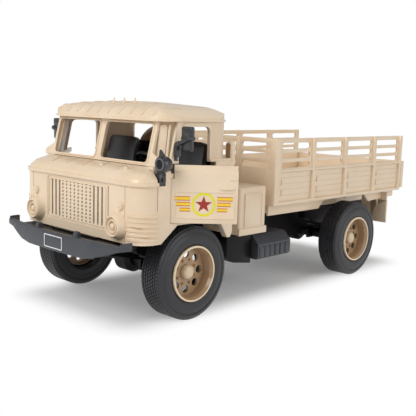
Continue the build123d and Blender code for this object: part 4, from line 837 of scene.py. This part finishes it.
doorLook = {
    "hinge": (20.4, 69.0),
    "open": 42.0,
    "skin": 1.0,
    "film": 0.12,
    "roundel": (21.65, 83.2),
    "ringOuter": 8.0,
    "ringInner": 6.35,
    "starRadius": 5.75,
    "starWaist": 0.4,
    "starPoints": 5,
    "ringSteps": 100,
    "ringGapShare": 0.022,
    "coreShare": 1.5,
    "stripeRows": [(2.2, 12.55, 41.0, 85.75, 88.55), (3.35, 12.65, 39.7, 82.0, 84.8),
                   (5.65, 12.7, 37.4, 78.4, 80.95)],
    "stripeRight": 30.6,
    "edge": 0.55,
    "studs": [(39.7, 100.1), (42.1, 100.1), (33.1, 94.3)],
    "knobProfile": [(0, 0.75), (0.45, 0.6), (0.75, 0.15), (0.75, -0.1), (0, -0.1)],
    "knobSteps": 16,
    "knobSmooth": 50,
}
starPitch = 360 / doorLook["starPoints"]
flatBevelShare = 0.4


def ontoDoor(piece, turned):
    # flat XY work (x along the leaf from its hinge, y = height) onto the outside of a door
    look = doorLook
    angle = math.radians(look["open"])
    leaf = Vector((-math.cos(angle), turned * math.sin(angle), 0))
    out = Vector((math.sin(angle), turned * math.cos(angle), 0))
    origin = at(look["hinge"][0], turned * look["hinge"][1], 0) + out * look["skin"] * mm
    return laid(piece, origin, leaf * turned, (0, 0, 1))


def flatBar(x0, x1, z0, z1, rise):
    # a bar drawn flat on XY, its upper edges bevelled
    middle = ((x0 + x1) / 2 * mm, (z0 + z1) / 2 * mm, rise / 2 * mm)
    bpy.ops.mesh.primitive_cube_add(size=1, location=middle)
    piece = bpy.context.object
    piece.scale = (abs(x1 - x0) * mm, (z1 - z0) * mm, rise * mm)
    settle(piece)
    editing(piece)
    selectFaces(piece, lambda middle, normal: normal.z > 0.9)
    bpy.ops.mesh.bevel(offset=rise * mm * flatBevelShare, segments=1, affect="EDGES")
    doneEditing()
    return piece


def makeStar():
    look = doorLook
    radius = look["starRadius"] * mm
    bpy.ops.mesh.primitive_circle_add(vertices=2 * look["starPoints"], radius=radius, fill_type="NGON")
    star = bpy.context.object
    editing(star)

    def between(point):
        share = (math.degrees(math.atan2(point.y, point.x)) - 90) / starPitch
        return abs(share - round(share)) > 1 / 4

    selectPoints(star, between)
    waist = look["starWaist"]
    bpy.ops.transform.resize(value=(waist, waist, 1), center_override=(0, 0, 0))
    thicken(look["film"])
    return star


def makeRing():
    look = doorLook
    bpy.ops.mesh.primitive_circle_add(vertices=look["ringSteps"], radius=look["ringOuter"] * mm,
                                      fill_type="NGON")
    ring = bpy.context.object
    editing(ring)
    bpy.ops.mesh.inset(thickness=(look["ringOuter"] - look["ringInner"]) * mm, depth=0)
    bpy.ops.mesh.delete(type="FACE")

    def inGap(middle, normal):
        share = (math.degrees(math.atan2(middle.y, middle.x)) - 90) / starPitch
        return abs(share - round(share)) < look["ringGapShare"]

    selectFaces(ring, inGap)
    bpy.ops.mesh.delete(type="FACE")
    thicken(look["film"])
    return ring


def dressDoors():
    look = doorLook
    for side, turned in (("left", 1), ("right", -1)):
        body = bodyOf["door_" + side]
        middle = Matrix.Translation((turned * look["roundel"][0] * mm, look["roundel"][1] * mm, 0))
        for name, make, material in (("star", makeStar, "decalRed"), ("ring", makeRing, "decalYellow")):
            piece = make()
            piece.matrix_world = middle @ piece.matrix_world
            piece.name = "door_" + name + "_" + side
            finishPiece(ontoDoor(settle(piece), turned), body, paints[material])
        edges, cores = [], []
        for x0, x1, x3, z0, z1 in look["stripeRows"]:
            for first, last in ((x0, x1), (look["stripeRight"], x3)):
                first, last = turned * first, turned * last
                edges.append(flatBar(first, last, z0, z1, look["film"]))
                cores.append(flatBar(first, last, z0 + look["edge"], z1 - look["edge"],
                                     look["film"] * look["coreShare"]))
        for name, parts, material in (("stripe_edges", edges, "decalRust"),
                                      ("stripes", cores, "decalGold")):
            piece = joined("door_" + name + "_" + side, parts)
            finishPiece(ontoDoor(piece, turned), body, paints[material])
        knobs = []
        for x, z in look["studs"]:
            knobs.append(lathe("knob", look["knobProfile"], (turned * x * mm, z * mm, 0),
                               steps=look["knobSteps"]))
        piece = smoothByAngle(joined("door_knobs_" + side, knobs), look["knobSmooth"])
        finishPiece(ontoDoor(piece, turned), body, sandPlastic)


dressDoors()
print("doors dressed")


lampLook = {
    "front": 47.4,
    "headSide": 47.6,
    "headHeight": 68.3,
    "turnSide": 50.0,
    "turnHeight": 81.8,
    "headProfile": [(0, 6.0), (1.0, 5.9), (1.9, 5.4), (2.3, 4.2), (2.5, 3.1), (3.2, 3.0), (3.4, 5.0),
                    (3.8, 5.6), (4.4, 5.6), (4.7, 5.2), (4.9, 4.1), (5.6, 4.0), (5.8, 5.6), (6.3, 6.2),
                    (6.9, 6.2), (7.4, 5.7), (7.8, 4.2), (8.2, 2.2), (8.7, 0.9), (9.3, 0.2), (9.3, -0.4),
                    (0, -0.4)],
    "turnProfile": [(0, 2.6), (0.8, 2.5), (1.3, 2.0), (1.35, 1.3), (1.9, 1.2), (2.2, 1.9), (2.7, 1.9),
                    (3.1, 1.2), (3.3, 0.2), (3.3, -0.4), (0, -0.4)],
    "smooth": 42,
}


def fitLamps():
    look = lampLook
    for name, side, height, profile, node in (
            ("headlamp", "headSide", "headHeight", "headProfile", "headlamps"),
            ("turn_lamp", "turnSide", "turnHeight", "turnProfile", None)):
        places = [at(look["front"], turned * look[side], look[height]) for turned in (1, -1)]
        lamps = [lathe(name, look[profile], place, (1, 0, 0)) for place in places]
        piece = smoothByAngle(joined(name + "_pair", lamps), look["smooth"])
        finishPiece(piece, "truck", sandPlastic, [node] if node else ())


fitLamps()
print("lamps fitted")


# bars are (name, low corner, high corner, bevel)
searchLook = {
    "front": 33.6,
    "side": 71.6,
    "height": 110.0,
    "steps": 40,
    "shell": [(3.2, -0.6), (4.9, -0.2), (5.4, -1.4), (5.5, -3.6), (5.0, -6.0), (3.9, -7.9),
              (2.2, -9.0), (0, -9.3), (0, -1.0), (3.2, -0.6)],
    "ring": [(3.0, -1.0), (3.0, 0.1), (3.2, 0.4), (4.0, 0.4), (4.3, 0.0), (4.3, -1.0), (3.0, -1.0)],
    "lens": [(0, -0.7), (2.9, -0.35), (3.1, -0.2), (3.1, -1.2), (0, -1.2), (0, -0.7)],
    "bars": [("block", (26.6, 63.8, 95.6), (31.8, 69.8, 103.2), 0.5),
             ("neck", (28.0, 66.2, 102.4), (31.0, 69.6, 106.0), 0.5),
             ("collar", (27.2, 64.6, 100.6), (31.9, 70.2, 101.6), 0.3),
             ("lug", (27.6, 69.4, 98.4), (29.6, 71.4, 100.4), 0.3)],
    "fin": ((27.6, 70.4, 113.4), (33.8, 72.8, 119.6)),
    "finTop": 119.5,
    "finPoint": (33.4, 71.6, 119.6),
    "finTaper": (0.16, 0.5, 1),
    "finBevel": 0.2,
}


def makeFin():
    # the upright fin over the lamp, drawn in to a point at its top
    look = searchLook
    fin = bar("fin", *look["fin"])
    editing(fin)
    top = look["finTop"] * mm
    selectPoints(fin, lambda co: co.z > top)
    bpy.ops.transform.resize(value=look["finTaper"], center_override=at(*look["finPoint"]))
    bpy.ops.mesh.select_all(action="SELECT")
    bpy.ops.mesh.bevel(offset=look["finBevel"] * mm, segments=1, affect="EDGES")
    doneEditing()
    return fin


def fitSearchlight():
    look = searchLook
    place = at(look["front"], look["side"], look["height"])
    body = [lathe("lampShell", look["shell"], place, (1, 0, 0), look["steps"])]
    for name, low, high, bevel in look["bars"]:
        body.append(bar(name, low, high, bevel))
    body.append(makeFin())
    piece = smoothByAngle(joined("searchlight_body", body), roundAngle)
    finishPiece(piece, "truck", mirrorPlastic, ["searchlight"])
    for name, material in (("ring", "lampRing"), ("lens", "lensBlack")):
        piece = lathe("searchlight_" + name, look[name], place, (1, 0, 0), look["steps"])
        finishPiece(smoothByAngle(piece, roundAngle), "truck", paints[material])


fitSearchlight()


# bars are (name, low corner, high corner, bevel, segments); struts run between two points
mirrorLook = {
    "bars": [("upper", (10.2, 69.6, 126.2), (13.6, 80.0, 134.4), 1.5, 4),
             ("lower", (10.4, 70.4, 117.8), (13.6, 79.6, 127.4), 1.5, 4),
             ("foot", (11.6, 65.6, 113.6), (16.2, 68.4, 122.6), 0.7, 3),
             ("peg", (12.8, 64.6, 110.9), (14.8, 66.8, 114.2), 0.5, 2),
             ("band", (9.9, 69.9, 125.4), (14.2, 80.3, 127.8), 0.8, 3),
             ("glassRim", (13.4, 70.6, 127.6), (13.9, 78.6, 133.4), 0.2, 2)],
    "struts": [("arm", (14.0, 66.4, 121.8), (14.0, 79.4, 127.2), 2.8, 2.8, 0.6),
               ("knuckle", (14.2, 65.8, 121.0), (14.2, 69.6, 123.4), 3.6, 3.4, 0.9)],
}


def strut(name, first, last, wide, thick, bevel):
    # a bevelled bar from one point to another, (station, side, height) in mm
    start, end = at(*first), at(*last)
    bpy.ops.mesh.primitive_cube_add(size=1)
    piece = bpy.context.object
    piece.name = name
    piece.scale = (wide * mm, thick * mm, (end - start).length)
    piece.rotation_mode = "QUATERNION"
    piece.rotation_quaternion = (end - start).to_track_quat("Z", "X")
    piece.location = (start + end) / 2
    settle(piece)
    editing(piece)
    bpy.ops.mesh.bevel(offset=bevel * mm, segments=3, affect="EDGES")
    doneEditing()
    return piece


def fitMirrors():
    look = mirrorLook
    parts = [bar(*values) for values in look["bars"]] + [strut(*values) for values in look["struts"]]
    near = smoothByAngle(joined("mirror_near", parts), roundAngle)
    far = smoothByAngle(mirrored(near), roundAngle)
    piece = joined("mirror_pair", [near, far])
    finishPiece(piece, "truck", mirrorPlastic, ["mirrors"])


fitMirrors()
print("searchlight and mirrors fitted")


bedLook = {
    "posts": [-97.7, -145.85, -194.0, -242.15, -290.3],
    "postHalf": 1.7,
    "boards": (73.9, 97.5),
    "planks": 5,
    "groove": 0.42,
    "face": 62.6,
    "rise": 0.32,
    "clear": 0.25,
    "sink": 0.3,
    "plankBevel": 0.14,
    "tabInset": 5.0,
    "tabRise": 1.0,
    "tabBevel": 0.3,
    "tabWide": 1.3,
    "tabHeights": [(78.6, 83.2), (87.0, 91.6)],
}


def fitPlanks():
    # five planks to a bay and two hinge tabs, copied along both sides of the bed
    look = bedLook
    low, high = look["boards"]
    pitch = (high - low) / look["planks"]
    first, second = look["posts"][0], look["posts"][1]
    front = first - look["postHalf"] - look["clear"]
    rear = second + look["postHalf"] + look["clear"]
    planks = []
    for row in range(look["planks"]):
        bottom = low + row * pitch + look["groove"] / 2
        planks.append(bar("plank", (front, look["face"] - look["sink"], bottom),
                          (rear, look["face"] + look["rise"], bottom + pitch - look["groove"]),
                          look["plankBevel"]))
    for bottom, top in look["tabHeights"]:
        tab = front - look["tabInset"]
        planks.append(bar("tab", (tab, look["face"], bottom),
                          (tab - look["tabWide"], look["face"] + look["tabRise"], top),
                          look["tabBevel"]))
    bay = joined("bay", planks)
    step = second - first
    bays = [shifted(bay, station=step * number) for number in range(1, len(look["posts"]) - 1)]
    left = joined("bed_planks_left", [bay] + bays)
    right = mirrored(left)
    right.name = "bed_planks_right"
    for piece in (left, right):
        finishPiece(piece, "truck", sandPlastic)


fitPlanks()
print("bed planked")


boxLook = {
    "panel": (-80.4, -59.6, 57.4, 83.4),
    "face": 64.8,
    "frameWidth": 1.1,
    "frameRise": 0.5,
    "frameCorner": 1.2,
    "frameSink": 0.1,
    "kickFoot": ((-86.1, 63.6, 51.6), (-53.9, 65.0, 57.0)),
    "kickBevel": 0.5,
    "bevel": 0.15,
}


def dressBoxes():
    look = boxLook
    x0, x1, z0, z1 = look["panel"]
    ring = rimRing("boxRing", (x1 - x0) / 2, (z1 - z0) / 2, look["frameCorner"],
                   look["frameWidth"], look["frameRise"])
    middle = at((x0 + x1) / 2, look["face"] - look["frameSink"], (z0 + z1) / 2)
    laid(ring, middle, (-1, 0, 0), (0, 0, 1))
    foot = bar("kick", *look["kickFoot"], bevel=look["kickBevel"])
    left = joined("box_trim_left", [ring, foot])
    addBevel(left, look["bevel"] * mm, 1)
    applyAll(left)
    right = mirrored(left)
    right.name = "box_trim_right"
    for piece in (left, right):
        finishPiece(smoothByAngle(piece), "truck", sandPlastic)


dressBoxes()


flapLook = {
    "inner": 36.5,
    "outer": 64.2,
    "low": 40.6,
    "high": 70.0,
    "thick": 1.5,
    "nearFoot": 0.5,
    "bevel": 0.3,
}


def widenFlaps():
    # a wide plate by each mud flap, its front face in the plane of the flap's foot
    look = flapLook
    places = [(vertex.co.x, vertex.co.z) for vertex in frame["nodes"]["mud_flaps"].data.vertices]
    foot = min(z for x, z in places)
    plane = max(x for x, z in places if z < foot + look["nearFoot"] * mm) / mm - frontAxle
    left = bar("flapPlate", (plane - look["thick"], look["inner"], look["low"]),
               (plane, look["outer"], look["high"]), look["bevel"])
    pair = joined("flap_plates", [left, mirrored(left)])
    finishPiece(smoothByAngle(pair), "truck", sandPlastic)


widenFlaps()
print("flaps widened")


tankLook = {
    "front": -88.0,
    "rear": -130.0,
    "outer": 56.0,
    "low": 27.0,
    "ribs": 6,
    "ribTop": 37.4,
    "margin": 1.2,
    "padGap": 0.5,
    "padSink": 0.6,
    "padRise": 0.55,
    "padFoot": 1.4,
    "padBevel": 0.45,
    "soften": 0.6,
}


def dressTanks():
    # softened tanks with raised pads along the lower face
    look = tankLook
    piece = copyOfNode("fuel_tanks", "tank_shells")
    addBevel(piece, look["soften"] * mm, 3)
    applyAll(piece)
    finishPiece(smoothByAngle(piece), "truck", bumperPlastic, ["fuel_tanks"])
    pitch = (look["front"] - look["rear"] - 2 * look["margin"]) / look["ribs"]
    pads = []
    for number in range(look["ribs"]):
        start = look["front"] - look["margin"] - number * pitch
        pads.append(bar("pad", (start - look["padGap"], look["outer"] - look["padSink"],
                                look["low"] + look["padFoot"]),
                        (start - pitch + look["padGap"], look["outer"] + look["padRise"],
                         look["ribTop"]), look["padBevel"]))
    left = joined("tank_pads_left", pads)
    right = mirrored(left)
    right.name = "tank_pads_right"
    for side in (left, right):
        finishPiece(smoothByAngle(side), "truck", bumperPlastic)


dressTanks()
print("boxes and tanks dressed")


plateLook = {
    "front": 66.5,
    "halfWide": 10.8,
    "low": 47.4,
    "high": 56.5,
    "line": 0.62,
    "corner": 0.8,
    "rise": 0.45,
    "sink": 0.3,
}


def fitPlate():
    # the plate's white outline, its field left bare
    look = plateLook
    halfHigh = (look["high"] - look["low"]) / 2
    frameLine = rimRing("plate_outline", look["halfWide"], halfHigh, look["corner"],
                        look["line"], look["rise"])
    laid(frameLine, at(look["front"] - look["sink"], 0, look["low"] + halfHigh), (0, 1, 0), (0, 0, 1))
    finishPiece(frameLine, "truck", paints["plateWhite"])


fitPlate()


noseLook = {
    "front": 47.6,
    "seamSide": 54.4,
    "seamStation": 33.2,
    "low": 57.3,
    "sideLow": 79.5,
    "high": 95.2,
    "wide": 0.35,
    "gap": ((47.3, 36.6, 64.0), (47.66, 37.3, 93.6)),
    "frameHalf": 36.6,
    "frameLow": 62.4,
    "frameHigh": 95.0,
    "seamSink": 0.3,
    "seamProud": 0.05,
    "sideFaces": (69.7, 70.06),
    "lipCorner": 3.6,
    "lipWide": 0.7,
    "lipRise": 0.45,
    "lipSink": 0.2,
    "lipBevel": 0.2,
}


def dressNose():
    look = noseLook
    half = look["wide"] / 2
    inner, outer = look["sideFaces"]
    # the seams and the grille's gap are thin strips in the brown painted shade colour: painted shade of
    # the grooves
    seams = []
    for turned in (1, -1):
        side = turned * look["seamSide"]
        seams.append(bar("frontSeam", (look["front"] - look["seamSink"], side - half, look["low"]),
                         (look["front"] + look["seamProud"], side + half, look["high"])))
        station = look["seamStation"]
        seams.append(bar("sideSeam", (station - half, turned * inner, look["sideLow"]),
                         (station + half, turned * outer, look["high"])))
    seams.append(bar("grilleGap", *look["gap"]))
    finishPiece(joined("nose_seam_shade", seams), "truck", paints["seamShade"])
    halfHigh = (look["frameHigh"] - look["frameLow"]) / 2
    lip = rimRing("grille_lip", look["frameHalf"], halfHigh, look["lipCorner"],
                  look["lipWide"], look["lipRise"])
    middle = at(look["front"] - look["lipSink"], 0, look["frameLow"] + halfHigh)
    laid(lip, middle, (0, 1, 0), (0, 0, 1))
    addBevel(lip, look["lipBevel"] * mm)
    applyAll(lip)
    finishPiece(smoothByAngle(lip), "truck", sandPlastic)


dressNose()


# the lip is half its width, half its height, corner, line and rise
scoopLook = {
    "body": ((-46.0, 60.2, 104.4), (-40.6, 66.4, 123.4)),
    "bevel": 2.4,
    "segments": 5,
    "lip": (2.7, 8.9, 2.5, 0.6, 0.5),
    "lipSink": 0.2,
    "mouthBevel": 0.25,
    "mouth": ((-41.0, 61.4, 106.2), (-40.4, 65.2, 121.6)),
}


def fitScoops():
    # a slim upright ear behind each side window, a thin lip round its mouth, and in the mouth a brown
    # strip of painted shade
    look = scoopLook
    low, high = look["body"]
    ear = bar("ear", low, high, look["bevel"], look["segments"])
    lip = rimRing("earLip", *look["lip"])
    middle = at(high[0] - look["lipSink"], (low[1] + high[1]) / 2, (low[2] + high[2]) / 2)
    laid(lip, middle, (0, 1, 0), (0, 0, 1))
    left = smoothByAngle(joined("scoop_left", [ear, lip]), roundAngle)
    right = mirrored(left)
    pair = joined("scoop_pair", [left, right])
    finishPiece(pair, "truck", sandPlastic, ["air_scoops"])
    # the mouth is a brown strip standing for the shade inside the open scoop: painted shade
    mouth = bar("mouthShadeLeft", *look["mouth"], bevel=look["mouthBevel"])
    mouths = joined("scoop_mouth_shade", [mouth, mirrored(mouth)])
    finishPiece(mouths, "truck", paints["seamShade"])


fitScoops()


shoulderLook = {
    "low": (21.5, 53.4, 99.0),
    "high": (31.4, 62.6, 107.4),
    "bevel": 1.6,
    "segments": 4,
    "smooth": 50,
}


def fillShoulders():
    # the sand shoulder that closes the corner between cowl, screen foot and side
    look = shoulderLook
    left = bar("shoulder", look["low"], look["high"], look["bevel"], look["segments"])
    smoothByAngle(left, look["smooth"])
    pair = joined("shoulder_pair", [left, mirrored(left)])
    finishPiece(pair, "truck", sandPlastic)


fillShoulders()


screenLook = {
    "foot": (29.5, 107.56),
    "head": (22.5, 137.0),
    "panes": (3.0, 54.0),
    "paneLow": 1.6,
    "paneHigh": 28.45,
    "paneCorner": 3.7,
    "lipWide": 1.2,
    "lipRise": 0.9,
    "outsideShare": 0.6,
    "setBack": 0.3,
    "bevel": 0.3,
}


def dressScreen():
    look = screenLook
    up = Vector((look["head"][0] - look["foot"][0], 0, look["head"][1] - look["foot"][1]))
    halfWide = (look["panes"][1] - look["panes"][0]) / 2
    halfHigh = (look["paneHigh"] - look["paneLow"]) / 2
    lips = []
    outside = look["lipWide"] * look["outsideShare"]
    climb = up.normalized() * (look["paneLow"] + halfHigh) * mm
    for turned in (1, -1):
        lip = rimRing("lip", halfWide + outside, halfHigh + outside, look["paneCorner"],
                      look["lipWide"], look["lipRise"])
        foot = at(look["foot"][0], turned * (look["panes"][0] + halfWide), look["foot"][1])
        laid(lip, foot + climb - Vector((look["setBack"] * mm, 0, 0)), (0, 1, 0), up)
        lips.append(lip)
    piece = joined("pane_lips", lips)
    addBevel(piece, look["bevel"] * mm, 3)
    applyAll(piece)
    finishPiece(smoothByAngle(piece), "truck", sandPlastic)


dressScreen()


cornerLook = {
    "front": (26.3, 54.6),
    "rear": (16.4, 63.0),
    "height": 109.4,
    "rake": 0.2378,
    "plate": (3.6, 9.0, 3.0, 26.4),
    "slantBar": (9.4, 11.2, 1.2, 26.6),
    "stripBar": (0.8, 2.4, 2.0, 26.8),
    "arch": 2.4,
    "archSegments": 5,
    "nearTop": 0.1,
    "plateRise": 0.7,
    "barRise": 1.1,
    "bevel": 0.25,
}


def makeArchedPlate(turned):
    # a flat plate with its two upper corners rounded, drawn on XY
    look = cornerLook
    x0, x1, z0, z1 = look["plate"]
    middle = (turned * (x0 + x1) / 2 * mm, (z0 + z1) / 2 * mm, 0)
    bpy.ops.mesh.primitive_plane_add(size=1, location=middle)
    plate = bpy.context.object
    plate.scale = ((x1 - x0) * mm, (z1 - z0) * mm, 1)
    settle(plate)
    editing(plate)
    high = (z1 - look["nearTop"]) * mm
    selectPoints(plate, lambda co: co.y > high)
    bpy.ops.mesh.bevel(offset=look["arch"] * mm, segments=look["archSegments"], affect="VERTICES")
    thicken(look["plateRise"])
    return plate


def dressCorners():
    # the sunk panels beside the windscreen: an arched plate between two standing bars
    look = cornerLook
    for side, turned in (("left", 1), ("right", -1)):
        run = Vector((look["rear"][0] - look["front"][0],
                      turned * (look["rear"][1] - look["front"][1]), 0))
        pieces = [makeArchedPlate(turned)]
        for name in ("slantBar", "stripBar"):
            first, last, low, high = look[name]
            pieces.append(flatBar(turned * first, turned * last, low, high, look["barRise"]))
        piece = joined("corner_trim_" + side, pieces)
        addBevel(piece, look["bevel"] * mm)
        applyAll(piece)
        foot = at(look["front"][0], turned * look["front"][1], look["height"])
        laid(piece, foot, run * turned, Vector((-look["rake"], 0, 1)))
        finishPiece(smoothByAngle(piece), "truck", sandPlastic)


dressCorners()
print("nose, screen and corners dressed")


replacedNodes = set(softEdges) | {"headlamps", "mirrors", "searchlight", "fuel_tanks", "air_scoops"}
for node, piece in frame["nodes"].items():
    if node in replacedNodes or node.startswith("tyre_"):
        continue
    piece.data.materials.clear()
    piece.data.materials.append(ownMaterial.get(node, slotMaterial[slotOf[node]]))
    for polygon in piece.data.polygons:
        polygon.material_index = 0

print("pieces dressed")
